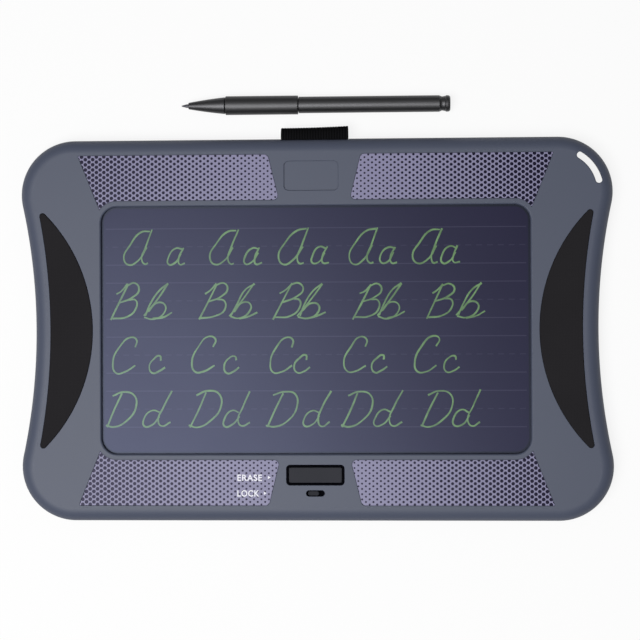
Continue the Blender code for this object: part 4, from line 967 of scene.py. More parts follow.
def two_tone(piece: bpy.types.Object, upper: Finish, lower: Finish, height: float) -> None:
    """Dress a piece in one finish above a height and in another below it.

    Args:
        piece: the piece.
        upper: the finish of the faces whose middle is above the height.
        lower: the finish of the others.
        height: the height.
    """
    piece.data.materials.append(upper.material())
    piece.data.materials.append(lower.material())
    for side in piece.data.polygons:
        side.material_index = 0 if side.center.z > height else 1


def rounded_over(radius: float, height: float, steps: int, rising: bool = True) -> list[Point]:
    """The growth, never above 0, and the height of each step of a quarter round.

    Args:
        radius: the radius.
        height: the height of the flat face that the rounding meets.
        steps: the chords in it.
        rising: whether the flat face is above the side or below it.

    Returns:
        Pairs from the side to the flat face.
    """
    sign = 1 if rising else -1
    turns = [QUARTER * i / steps for i in range(steps + 1)]
    return [(radius * (math.cos(t) - 1), height - sign * radius * (1 - math.sin(t))) for t in turns]


def flared(edge: float, face: float, steps: int = 4) -> list[Point]:
    """The growth and height of a cutter that leaves a rounded edge round its opening.

    Args:
        edge: the radius of the rounded edge.
        face: the height of the face that is cut.
        steps: the chords in the rounding.

    Returns:
        Pairs from below the edge to clear above the face.
    """
    turns = [FLARE_ANGLE * i / steps for i in range(steps + 1)]
    pairs = [(edge * (1 - math.cos(t)), face - edge * (1 - math.sin(t))) for t in turns]
    grow, height = pairs[-1]
    rise = face + edge - height
    return pairs + [(grow + rise * math.tan(FLARE_ANGLE), height + rise)]


@dataclass
class FrontShell:
    """The front moulding with its window, recesses and openings."""

    plan: Drawing
    roundover: float = 0.006
    roundover_steps: int = 12
    face_wall: float = 0.002
    edge: float = 0.00012
    window_edge: float = 0.0009
    slot_edge: float = 0.0005
    badge_size: Point = (0.0236, 0.0128)
    badge_spot: Point = (-0.0014, 0.0674)
    badge_depth: float = 0.0006
    badge_edge: float = 0.0003
    key_opening: Point = (0.0255, 0.0090)
    key_corner: float = 0.0017
    lock_slot: Point = (0.0082, 0.0027)

    def cutter(self, name: str, outline: Grown, low: float, edge: float) -> bpy.types.Object:
        """A cutter down from the face to a height, which leaves its opening's edge rounded."""
        return lofted(name, stacked(outline, [(0.0, low), *flared(edge, self.plan.face)]))

    def blank(self) -> bpy.types.Object:
        """The solid moulding with its rounded rim, before anything is cut.

        Returns:
            The blank.
        """
        low = self.plan.parting + GAP / 2
        rim = rounded_over(self.roundover, self.plan.face, self.roundover_steps)
        return lofted("front_shell", stacked(self.plan.housing, [(0.0, low), *rim]))

    def hollow(self, shell: bpy.types.Object) -> None:
        """Cut the inside and the rebate for the tongue, and add the slot's wall.

        Args:
            shell: the moulding.
        """
        plan = self.plan
        low, ceiling = plan.parting - OVERCUT, plan.face - self.face_wall
        rebate = plan.housing(plan.tongue + GAP - plan.wall)
        cut(shell, prism("inside", plan.housing(-plan.wall), low, ceiling),
            prism("rebate", rebate, low, highest("back_cover").z + GAP))
        join(shell, lofted("slot_wall", [
            level(plan.lanyard(plan.slot_wall, plan.lanyard_draft), plan.parting + GAP / 2),
            level(plan.lanyard(plan.slot_wall), ceiling + GAP)]))

    def slot_cutter(self) -> bpy.types.Object:
        """The cutter for the lanyard slot, drafted towards the parting line.

        Returns:
            The cutter.
        """
        foot = level(self.plan.lanyard(0.0, self.plan.lanyard_draft), self.plan.parting - OVERCUT)
        sides = stacked(self.plan.lanyard, flared(self.slot_edge, self.plan.face))
        return lofted("lanyard_cut", [foot, *sides])

    def openings(self) -> list[bpy.types.Object]:
        """Cutters for the window, the key, the lock, the badge place and the lanyard slot.

        Returns:
            The cutters.
        """
        below = self.plan.face - self.face_wall - OVERCUT
        key = rounded_box(self.key_opening, self.key_corner, (0.0, middle("erase_button").y))
        lock = rounded_box(self.lock_slot, self.lock_slot[1] / 2, (0.0, middle("lock_slider").y))
        badge = rounded_box(self.badge_size, self.plan.panel_corner, self.badge_spot)
        return [
            self.cutter("window_cut", self.plan.window, below, self.window_edge),
            self.cutter("key_cut", key, below, self.edge),
            self.cutter("lock_cut", lock, below, self.edge),
            self.cutter("badge_cut", badge, self.plan.face - self.badge_depth, self.badge_edge),
            self.slot_cutter(),
            loop_notch(self.plan)]

    def recess(self, place: Enum, outline: Grown, side: int, end: int, node: str) -> bpy.types.Object:
        """A cutter for the seat of a panel or a grip, a seam larger than what lies in it.

        Args:
            place: the corner or the flank.
            outline: the growing outline at the upper right.
            side: the sign of X at the seat's place.
            end: the sign of Y there.
            node: a frame node that lies in such a seat.

        Returns:
            The cutter.
        """
        def seat(grow: float) -> Outline:
            """The seat's outline at its own place."""
            return [(side * x, end * y) for x, y in outline(grow + SEAM)]

        return self.cutter(place.name.lower() + "_recess", seat, lowest(node).z - GAP, self.edge)

    def recesses(self) -> list[bpy.types.Object]:
        """Cutters for the four panels and the two grips.

        Returns:
            The cutters.
        """
        plan = self.plan
        panels = [self.recess(corner, plan.panel, *corner.value, "upper_left_panel") for corner in Corner]
        grips = [self.recess(flank, plan.grip, flank.value, 1, "left_grip") for flank in Side]
        return panels + grips

    def build(self) -> None:
        """Model the moulding and dress it."""
        shell = self.blank()
        self.hollow(shell)
        cut(shell, *self.openings(), *self.recesses())
        fitted(smoothed(shell), HOUSING, Body.TABLET, "housing", "front_bezel")


def loop_notch(plan: Drawing) -> bpy.types.Object:
    """The cut in the top wall that the elastic loop comes out of.

    Args:
        plan: the tablet's plan.

    Returns:
        The cutter.
    """
    right = highest("stylus_loop").x + GAP
    bottom, top = plan.half_height - plan.notch_depth, plan.half_height + OVERCUT
    height = middle("stylus_loop").z
    outline = [(-right, bottom), (right, bottom), (right, top), (-right, top)]
    return prism("loop_notch", outline, height - plan.notch_half_height, height + plan.notch_half_height)


@dataclass
class BackShell:
    """The rear moulding, its battery door and the screws that hold it."""

    plan: Drawing
    roundover: float = 0.0045
    roundover_steps: int = 10
    floor: float = 0.0018
    edge: float = 0.00016
    edge_steps: int = 4
    slot_edge: float = 0.0003
    tower_radius: float = 0.0034
    bore_radius: float = 0.0023
    shank_hole: float = 0.0013
    bore_depth: float = 0.0022
    door_corner: float = 0.002
    door_margin: float = 0.0026
    door_tab: float = 0.0016
    door_seat: float = 0.001
    bay_height: float = 0.0032
    screw_count: int = 8
    screw_steps: int = 32
    head: float = 0.0013
    door_head: float = 0.0006
    cross_reach: float = 0.62
    cross_half: float = 0.15
    cross_depth: float = 0.45

    def cutter(self, name: str, outline: Grown, high: float, edge: float) -> bpy.types.Object:
        """A cutter up from the back to a height, which leaves its opening's edge rounded."""
        sides = [(grow, -height) for grow, height in flared(edge, 0.0)]
        return lofted(name, stacked(outline, [(0.0, high), *sides]))

    def disc(self, radius: float, centre: Point) -> Grown:
        """A circle that can grow, as a function that gives its outline for a growth."""
        return lambda grow: arc(centre, radius + grow, 0.0, 2 * math.pi, self.screw_steps)[:-1]

    def rod(self, name: str, radius: float, centre: Point, low: float, high: float) -> bpy.types.Object:
        """An upright cylinder between two heights."""
        return prism(name, self.disc(radius, centre)(0.0), low, high)

    def screws(self) -> dict[str, str]:
        """The name of each rear screw, with the frame node it stands for."""
        return {f"rear_screw_{i}": f"housing_screw_{i}" for i in range(1, self.screw_count + 1)}

    def door_outline(self, grow: float) -> Outline:
        """The battery door's outline without its tabs, grown all round.

        Args:
            grow: how far it is grown.

        Returns:
            The outline.
        """
        low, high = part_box("battery_door")
        right = high.x - self.door_tab
        centre = ((low.x + right) / 2, (low.y + high.y) / 2)
        return rounded_box((right - low.x, high.y - low.y), self.door_corner, centre)(grow)

    def slot_cutter(self, high: float) -> bpy.types.Object:
        """The cutter for the lanyard slot, flared towards the back.

        Args:
            high: how far up it reaches.

        Returns:
            The cutter.
        """
        rings = [level(self.plan.lanyard(0.0, self.plan.lanyard_draft), high)]
        rings += [level(self.plan.lanyard(grow, self.plan.lanyard_flare), -height)
                  for grow, height in flared(self.slot_edge, 0.0)]
        return lofted("slot_cut", rings)

    def build_cover(self) -> None:
        """Model the rear moulding and dress it."""
        plan = self.plan
        top, tongue_high = plan.parting - GAP / 2, highest("back_cover").z
        rim = reversed(rounded_over(self.roundover, 0.0, self.roundover_steps, False))
        cover = lofted("rear_shell", stacked(plan.housing, [*rim, (0.0, top)]))
        join(cover, prism("tongue", plan.housing(plan.tongue - plan.wall), top - OVERCUT, tongue_high))
        cut(cover, prism("inside", plan.housing(-plan.wall), self.floor, tongue_high + OVERCUT))
        low = self.floor - GAP
        slot = [level(plan.lanyard(plan.slot_wall, plan.lanyard_flare), low),
                level(plan.lanyard(plan.slot_wall, plan.lanyard_draft), top)]
        spots = [spot_of(node) for node in self.screws().values()]
        join(cover, lofted("slot_wall", slot),
             prism("bay", self.door_outline(self.door_margin), low, self.bay_height),
             *(self.rod("tower", self.tower_radius, spot, low, top) for spot in spots))
        cell = spot_of("coin_cell")
        cell_hole = highest("coin_cell").x - cell[0] + 2 * GAP
        door_high = highest("battery_door").z + GAP
        cut(cover, self.slot_cutter(tongue_high + OVERCUT),
            self.cutter("door_cut", lambda grow: self.door_outline(grow + GAP), door_high, self.edge),
            self.rod("cell_hole", cell_hole, cell, OVERCUT, self.bay_height + OVERCUT),
            *(self.cutter("bore", self.disc(self.bore_radius, spot), self.bore_depth, self.edge)
              for spot in spots),
            *(self.rod("shank_hole", self.shank_hole, spot, OVERCUT, top + OVERCUT) for spot in spots),
            loop_notch(plan))
        fitted(smoothed(cover), HOUSING, Body.TABLET, "housing", "back_cover")

    def build_door(self) -> None:
        """Model the battery door with its screw hole and dress it."""
        low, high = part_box("battery_door")
        rim = reversed(rounded_over(self.edge * 2, low.z, self.edge_steps, False))
        door = lofted("cell_door", stacked(self.door_outline, [*rim, (0.0, high.z)]))
        spot = spot_of("battery_door_screw")
        bore = self.disc(self.bore_radius, spot)
        cut(door, self.cutter("bore", bore, low.z + self.door_seat, self.edge),
            self.rod("shank_hole", self.shank_hole, spot, low.z, high.z + OVERCUT))
        fitted(smoothed(door), HOUSING, Body.TABLET, "housing", "battery_door")

    def screw(self, name: str, node: str, head: float) -> bpy.types.Object:
        """A pan head screw with a cross recess, as long as its frame node.

        Args:
            name: the piece's name.
            node: the frame node.
            head: the height of its head.

        Returns:
            The screw.
        """
        low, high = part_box(node)
        spot = spot_of(node)
        radius = (high.x - low.x) / 2
        shank = radius / 2
        crown = reversed(rounded_over(head / 3, low.z, self.edge_steps, False))
        levels = [*crown, (0.0, low.z + head), (shank - radius, low.z + head),
                  (shank - radius, high.z - shank / 2), (shank / 2 - radius, high.z)]
        screw = lofted(name, stacked(self.disc(radius, spot), levels))
        reach, half = radius * self.cross_reach, radius * self.cross_half
        for wide, tall in ((reach, half), (half, reach)):
            slot = rectangle(2 * wide, 2 * tall, half / 4, spot, 2)
            cut(screw, prism("cross", slot, low.z - OVERCUT, low.z + head * self.cross_depth))
        return smoothed(screw)

    def build_screws(self) -> None:
        """Model the housing screws and the door screw and dress them."""
        for name, node in self.screws().items():
            fitted(self.screw(name, node, self.head), STEEL, Body.TABLET, "steel", node)
        door_screw = self.screw("cell_door_screw", "battery_door_screw", self.door_head)
        fitted(door_screw, STEEL, Body.TABLET, "steel", "battery_door_screw")

    def build(self) -> None:
        """Model the cover, the door and the screws."""
        self.build_cover()
        self.build_door()
        self.build_screws()


@dataclass
class CornerPanels:
    """The four pearl panels, pierced by holes that grow towards the outer corners."""

    plan: Drawing
    edge: float = 0.00012
    edge_steps: int = 2
    column_pitch: float = 0.00164
    row_pitch: float = 0.00228
    hole_depth: float = 0.00035
    small_hole: float = 0.00041
    large_hole: float = 0.00084
    growth: float = 1.3
    hole_sides: int = 14
    lattice: Point = (0.0171, 0.0581)
    lattice_spare: int = 4

    def hole_spots(self) -> list[tuple[Point, float]]:
        """Centres and radii of the holes that touch the upper right panel.

        Returns:
            Pairs of a centre and a radius.
        """
        outline = self.plan.panel(0.0)
        left, right = min(x for x, _ in outline), max(x for x, _ in outline)
        bottom, top = min(y for _, y in outline), max(y for _, y in outline)
        columns = round((right - left) / self.column_pitch)
        rows = round((top - bottom) / self.row_pitch)
        spare = self.lattice_spare
        spots = []
        for column in range(-spare, columns + spare):
            x = self.lattice[0] + column * self.column_pitch
            share = min(1.0, max(0.0, (right - x) / (right - left)))
            radius = self.small_hole + (self.large_hole - self.small_hole) * (1 - share**self.growth)
            for row in range(-spare, rows + spare):
                y = self.lattice[1] + (row + column % 2 / 2) * self.row_pitch
                if left - radius < x < right + radius and bottom - radius < y < top + radius:
                    spots.append(((x, y), radius))
        return spots

    def piercer(self, face: float) -> bpy.types.Object:
        """All holes of a panel as one cutter, added one by one in edit mode.

        Args:
            face: the height of the panel's face.

        Returns:
            The cutter.
        """
        deselect()
        piercer = None
        for (x, y), radius in self.hole_spots():
            bpy.ops.mesh.primitive_cylinder_add(vertices=self.hole_sides, radius=radius,
                                                depth=2 * self.hole_depth, location=(x, y, face))
            if piercer is None:
                piercer = bpy.context.active_object
                piercer.name = "piercer"
                bpy.ops.object.transform_apply(location=True)
                bpy.ops.object.mode_set(mode="EDIT")
        bpy.ops.object.mode_set(mode="OBJECT")
        return piercer

    def sheet(self) -> bpy.types.Object:
        """The upper right panel with its holes, its pearl finish and the painted shade inside its holes, not
        yet shaded smooth.

        Returns:
            The panel.
        """
        low, face = lowest("upper_right_panel").z, highest("upper_right_panel").z
        rim = rounded_over(self.edge, face, self.edge_steps)
        sheet = lofted("upper_right_sheet", stacked(self.plan.panel, [(0.0, low), *rim]))
        cut(sheet, self.piercer(face))
        # The holes' walls and floors are painted dark as the shade inside them
        two_tone(sheet, PEARL, HOLE_SHADE, face - self.edge - TOUCH)
        return sheet

    def mirrored(self, master: bpy.types.Object, place: Corner) -> bpy.types.Object:
        """A copy of the upper right panel, with a mesh of its own, at another corner.

        Args:
            master: the upper right panel.
            place: the other corner.

        Returns:
            The copy.
        """
        panel = master.copy()
        panel.data = master.data.copy()
        bpy.context.scene.collection.objects.link(panel)
        panel.data.transform(Matrix.Diagonal((*place.value, 1.0, 1.0)))
        return recalculated(panel)

    def build(self) -> None:
        """Model one panel, mirror it to the other corners and fit them all."""
        master = self.sheet()
        panels = {place: master if place is Corner.UPPER_RIGHT else self.mirrored(master, place)
                  for place in Corner}
        for place, panel in panels.items():
            name = place.name.lower()
            panel.name = name + "_sheet"
            fitted(smoothed(panel), PEARL, Body.TABLET, "inlay", name + "_panel")


@dataclass
class Grips:
    """The two crescent grips on the flanks."""

    plan: Drawing
    edge: float = 0.0004
    edge_steps: int = 5

    def build(self) -> None:
        """Model both grips and dress them."""
        low, top = lowest("right_grip").z, highest("right_grip").z
        rim = rounded_over(self.edge, top, self.edge_steps)
        rings = stacked(self.plan.grip, [(0.0, low), *rim])
        for flank in Side:
            name = flank.name.lower()
            grip = lofted(name + "_pad", [[(flank.value * x, y, z) for x, y, z in ring] for ring in rings])
            fitted(smoothed(grip), RUBBER, Body.TABLET, "grip_rubber", name + "_grip")


@dataclass(frozen=True)
class WrittenRow:
    """A row of one letter pair: where each pair starts and how far its second letter stands off."""

    pair: str
    starts: tuple[float, ...]
    gaps: tuple[float, ...]


@dataclass
class PracticeWriting:
    """Rows of letter pairs, written on the film between its ruled lines."""

    line_radius: float = 0.00037
    line_steps: int = 8
    weld: float = 0.0000003
    lift: float = 0.00002
    flatness: float = 0.05
    cap_height: float = 0.0157
    row_pitch: float = 0.02375
    first_base: float = 0.0287
    lean: float = 0.16
    unsteadiness: float = 0.025
    wander: float = 0.015
    pressure: float = 0.2
    seed: int = 4
    letters: dict[str, tuple[Stroke, ...]] = field(default_factory=lambda: {
        "A": (((0.67, 0.97), (0.43, 0.93), (0.14, 0.58), (0.03, 0.20), (0.19, 0.0), (0.43, 0.12),
               (0.64, 0.5)),
              ((0.71, 1.0), (0.60, 0.5), (0.55, 0.16), (0.64, 0.02), (0.74, 0.05))),
        "a": (((0.40, 0.44), (0.22, 0.47), (0.05, 0.24), (0.09, 0.03), (0.26, 0.06), (0.40, 0.32)),
              ((0.43, 0.48), (0.34, 0.20), (0.39, 0.03), (0.55, 0.04))),
        "B": (((0.08, 0.70), (0.22, 0.78), (0.36, 0.96)), ((0.36, 0.96), (0.20, 0.48), (0.02, -0.02)),
              ((0.34, 0.92), (0.56, 0.98), (0.70, 0.82), (0.54, 0.60), (0.20, 0.46)),
              ((0.44, 0.55), (0.66, 0.50), (0.68, 0.26), (0.46, 0.06), (0.06, 0.03))),
        "b": (((0.04, 0.08), (0.36, 0.56), (0.58, 0.97)),
              ((0.58, 0.97), (0.36, 0.80), (0.18, 0.40), (0.10, 0.08)),
              ((0.16, 0.20), (0.36, 0.44), (0.58, 0.38), (0.56, 0.14), (0.30, 0.0), (0.06, 0.06)),
              ((0.32, 0.01), (0.58, 0.06), (0.80, 0.18))),
        "C": (((0.57, 0.72), (0.59, 0.92), (0.42, 1.0), (0.15, 0.72), (0.04, 0.30), (0.17, 0.02),
               (0.40, 0.03), (0.66, 0.20)),),
        "c": (((0.34, 0.36), (0.29, 0.47), (0.13, 0.40), (0.03, 0.18), (0.13, 0.0), (0.32, 0.05),
               (0.47, 0.16)),),
        "D": (((0.34, 0.94), (0.20, 0.48), (0.06, 0.0)),
              ((0.08, 0.88), (0.38, 0.99), (0.70, 0.90), (0.80, 0.56), (0.60, 0.18), (0.26, 0.0),
               (0.02, 0.04))),
        "d": (((0.46, 0.40), (0.26, 0.46), (0.06, 0.24), (0.10, 0.03), (0.32, 0.06), (0.48, 0.30)),
              ((0.70, 1.0), (0.54, 0.56), (0.46, 0.16), (0.58, 0.02), (0.80, 0.14)))})
    rows: tuple[WrittenRow, ...] = (
        WrittenRow("Aa", (-0.085, -0.047, -0.017, 0.014, 0.042), (0.019, 0.015, 0.0145, 0.0135, 0.0125)),
        WrittenRow("Bb", (-0.0905, -0.0515, -0.0185, 0.0165, 0.0485), (0.014, 0.013, 0.010, 0.010, 0.0125)),
        WrittenRow("Cc", (-0.0905, -0.0555, -0.021, 0.0115, 0.042), (0.0165, 0.0145, 0.011, 0.0125, 0.0135)),
        WrittenRow("Dd", (-0.093, -0.056, -0.022, 0.011, 0.0455), (0.016, 0.0145, 0.0155, 0.0135, 0.0135)))

    def write(self, curve: bpy.types.Curve, letter: str, origin: Point, hand: random.Random) -> None:
        """Add a letter's strokes to a curve, a little uneven as by hand.

        Args:
            curve: the curve that holds all strokes.
            letter: the letter.
            origin: where its base line starts.
            hand: the source of the unevenness.
        """
        grow = self.cap_height * (1 + hand.uniform(-1, 1) * self.unsteadiness)
        lean = self.lean + hand.uniform(-1, 1) * self.unsteadiness
        for stroke in self.letters[letter]:
            spline = curve.splines.new("BEZIER")
            spline.bezier_points.add(len(stroke) - 1)
            for knot, (x, y) in zip(spline.bezier_points, stroke):
                wander = [hand.uniform(-1, 1) * self.wander for _ in range(2)]
                across = origin[0] + grow * (x + lean * y + wander[0])
                knot.co = (across, origin[1] + grow * (y + wander[1]), 0.0)
                knot.handle_left_type = knot.handle_right_type = "AUTO"
                knot.radius = 1 + hand.uniform(-1, 1) * self.pressure

    def strokes(self) -> bpy.types.Curve:
        """All rows as one curve with round strokes.

        Returns:
            The curve.
        """
        hand = random.Random(self.seed)
        curve = bpy.data.curves.new("practice_writing", "CURVE")
        curve.dimensions = "3D"
        curve.bevel_depth = self.line_radius
        curve.bevel_resolution = 1
        curve.resolution_u = self.line_steps
        curve.use_fill_caps = True
        for number, row in enumerate(self.rows):
            base = self.first_base - number * self.row_pitch
            for start, gap in zip(row.starts, row.gaps):
                self.write(curve, row.pair[0], (start, base), hand)
                self.write(curve, row.pair[1], (start + gap, base), hand)
        return curve

    def build(self) -> None:
        """Make the strokes one flat mesh on the film and dress it."""
        writing = bpy.data.objects.new("practice_writing", self.strokes())
        bpy.context.scene.collection.objects.link(writing)
        take(writing)
        bpy.ops.object.convert(target="MESH")
        writing = bpy.context.active_object
        bpy.ops.object.mode_set(mode="EDIT")
        bpy.ops.mesh.select_all(action="SELECT")
        bpy.ops.mesh.remove_doubles(threshold=self.weld)
        bpy.ops.transform.resize(value=(1.0, 1.0, self.flatness), center_override=(0.0, 0.0, 0.0))
        height = highest("lcd_film").z + self.lift + self.line_radius * self.flatness
        bpy.ops.transform.translate(value=(0.0, 0.0, height))
        bpy.ops.mesh.normals_make_consistent(inside=False)
        bpy.ops.object.mode_set(mode="OBJECT")
        bpy.ops.object.shade_smooth_by_angle(angle=SMOOTH_ANGLE)
        fitted(writing, TRACE, Body.TABLET, "film")


@dataclass
class EraseKey:
    """The erase key and the black seal ring round it."""

    edge: float = 0.0003
    edge_steps: int = 5
    corner: float = 0.0008
    least_corner: float = 0.0002
    key_size: Point = (0.0232, 0.0067)
    flange: float = 0.0008
    ring_wall: float = 0.00075
    ring_flange: float = 0.0006
    ring_soft: float = 0.25
    ring_bevel: float = 0.3

    def outline(self, grow: float, corner: float | None = None) -> Outline:
        """The key's outline, grown all round, with corners that grow too unless one is given."""
        radius = max(self.corner + grow, self.least_corner) if corner is None else corner
        return rounded_box(self.key_size, radius - grow, spot_of("erase_button"))(grow)

    def build_key(self) -> None:
        """Model the key with its hidden flange and its rounded rim, and dress it."""
        low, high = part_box("erase_button")
        reach = (high.x - low.x - self.key_size[0]) / 2
        flange, ledge = self.outline(reach, self.corner), low.z + self.flange
        rim = rounded_over(self.edge, high.z, self.edge_steps)
        rings = [level(flange, low.z), level(flange, ledge), *stacked(self.outline, [(0.0, ledge), *rim])]
        fitted(smoothed(lofted("erase_key", rings)), KEYCAP, Body.ERASE_KEY, "key", "erase_button")

    def build_ring(self) -> None:
        """Model the seal ring as a closed tube and dress it."""
        low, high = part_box("button_surround")
        outer = GAP + self.ring_wall
        reach = (high.x - low.x - self.key_size[0]) / 2
        ledge = low.z + self.ring_flange
        soft = self.ring_wall * self.ring_soft
        bevel = soft * self.ring_bevel
        levels = [(GAP, low.z), (reach, low.z), (reach, ledge), (outer, ledge), (outer, high.z - soft),
                  (outer - bevel, high.z - bevel), (outer - soft, high.z), (GAP + soft, high.z),
                  (GAP + bevel, high.z - bevel), (GAP, high.z - soft)]
        ring = lofted("seal_ring", stacked(self.outline, levels), True)
        fitted(smoothed(ring), SEAL_AND_SHADE, Body.TABLET, "seal_rubber", "button_surround")

    def build(self) -> None:
        """Model the key and its ring."""
        self.build_key()
        self.build_ring()


@dataclass
class LockSlider:
    """The small lock slider in its round-ended slot."""

    knob_size: Point = (0.0049, 0.0021)
    flange: float = 0.0006
    flange_drop: float = 0.0022
    corner: float = 0.0008
    edge: float = 0.00025
    edge_steps: int = 4

    def build(self) -> None:
        """Model the slider's flange and its knob, paint the flange black as the shade down in the slot, and
        dress it.
        """
        low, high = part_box("lock_slider")
        centre = spot_of("lock_slider")
        ledge = highest("button_surround").z - self.flange_drop
        base = rectangle(high.x - low.x, high.y - low.y, self.corner, centre)
        knob = rounded_box(self.knob_size, self.knob_size[1] / 2 - 2 * TOUCH, centre)
        rim = rounded_over(self.edge, high.z, self.edge_steps)
        slider = lofted("lock_knob", [level(base, ledge - self.flange), level(base, ledge),
                                      *stacked(knob, [(0.0, ledge), *rim])])
        # Painted shade: the flange below the knob is dressed black to stand for the shadow down in the slot
        two_tone(slider, SLIDER, SEAL_AND_SHADE, ledge + self.edge)
        fitted(smoothed(slider), SLIDER, Body.LOCK, "key", "lock_slider")


@dataclass(frozen=True)
class Label:
    """A printed word: its control's node, its place against it, its width and its pointer's left edge."""

    text: str
    node: str
    offset: float
    width: float
    pointer: float


@dataclass
class KeyLabels:
    """Printed words and pointers beside the erase key and the lock."""

    letter_height: float = 0.0028
    cap_share: float = 0.73
    curve_steps: int = 6
    thickness: float = 0.00001
    weight: float = 0.00007
    left: float = -0.0344
    pointer: Point = (0.0012, 0.0015)
    spacing: float = 1.12
    rows: tuple[Label, ...] = (Label("ERASE", "erase_button", -0.00105, 0.0108, -0.0208),
                               Label("LOCK", "lock_slider", 0.0001, 0.0096, -0.0226))

    def word(self, text: str, width: float, y: float, height: float) -> bpy.types.Object:
        """A printed word as a flat mesh.

        Args:
            text: the word.
            width: how wide it is.
            y: the middle of its letters.
            height: the height of the face that it is printed on.

        Returns:
            The word.
        """
        deselect()
        bpy.ops.object.text_add()
        word = bpy.context.active_object
        word.data.body = text
        word.data.size = self.letter_height / self.cap_share
        word.data.space_character = self.spacing
        word.data.extrude = self.thickness / 2
        word.data.offset = self.weight
        word.data.resolution_u = self.curve_steps
        bpy.ops.object.convert(target="MESH")
        word = bpy.context.active_object
        word.scale.x = width / word.dimensions.x
        word.location = (self.left, y - self.letter_height / 2, height + self.thickness)
        bpy.ops.object.transform_apply()
        return word

    def arrow(self, x: float, y: float, height: float) -> bpy.types.Object:
        """A small triangle that points at the key.

        Args:
            x: its left edge.
            y: its middle.
            height: the height of the face that it is printed on.

        Returns:
            The triangle.
        """
        run, half = self.pointer[0], self.pointer[1] / 2
        outline = [(x, y - half), (x + run, y), (x, y + half)]
        return prism("pointer", outline, height + self.thickness / 2, height + self.thickness * 3 / 2)

    def build(self) -> None:
        """Print both rows and dress them."""
        face = highest("lower_left_panel").z
        for row in self.rows:
            y = middle(row.node).y + row.offset
            word = self.word(row.text, row.width, y, face)
            arrow = self.arrow(row.pointer, y, face)
            arrow.select_set(True)
            word.select_set(True)
            bpy.context.view_layer.objects.active = word
            bpy.ops.object.join()
            word.name = row.text.lower() + "_label"
            fitted(word, PRINT, Body.TABLET, "inlay")


@dataclass
class StylusLoop:
    """The ribbed elastic loop on the top edge."""

    ribs: int = 25
    rib_height: float = 0.00022
    rib_steps: int = 6
    rib_fullness: float = 0.6
    smooth_angle: float = math.radians(60.0)
    band: float = 0.0009
    eye_radius: float = 0.0013
    bore_radius: float = 0.0032
    arc_steps: int = 26
    slack: float = 0.0007

    def belt(self, grow: float, share: float = 1.0) -> list[Point]:
        """The loop in the side view, round the pin and out to its end.

        Args:
            grow: how far outside the bore it runs.
            share: how far along the loop's width it is, from the slack end to the tight one.

        Returns:
            Points as Y and Z.
        """
        pin = tuple(middle("loop_pin")[1:])
        slack = self.slack * (1 - share**2)
        end = (highest("stylus_loop").y - self.bore_radius - self.band - slack, pin[1])
        eye, bore = self.eye_radius + grow, self.bore_radius + grow
        slope = math.asin((bore - eye) / (end[0] - pin[0]))
        tip = arc(end, bore, -QUARTER - slope, QUARTER + slope, 2 * self.arc_steps)
        back = arc(pin, eye, QUARTER + slope, 3 * QUARTER - slope, self.arc_steps)
        return tip + back

    def build(self) -> None:
        """Sweep the ribs along the loop, close it and dress it."""
        low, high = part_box("stylus_loop")
        width = high.x - low.x
        steps = self.ribs * self.rib_steps
        rings = []
        for step in range(steps + 1):
            share = step / steps
            rise = abs(math.sin(math.pi * share * self.ribs)) ** self.rib_fullness
            grow = self.band - self.rib_height * (1 - rise)
            rings.append([(low.x + width * share, y, z) for y, z in self.belt(grow, share)])
        rings += [[(low.x + width * share, y, z) for y, z in self.belt(0.0, share)] for share in (1.0, 0.0)]
        loop = lofted("elastic_loop", rings, True)
        take(loop)
        bpy.ops.object.shade_smooth_by_angle(angle=self.smooth_angle)
        fitted(loop, ELASTIC, Body.TABLET, "elastic", "stylus_loop")


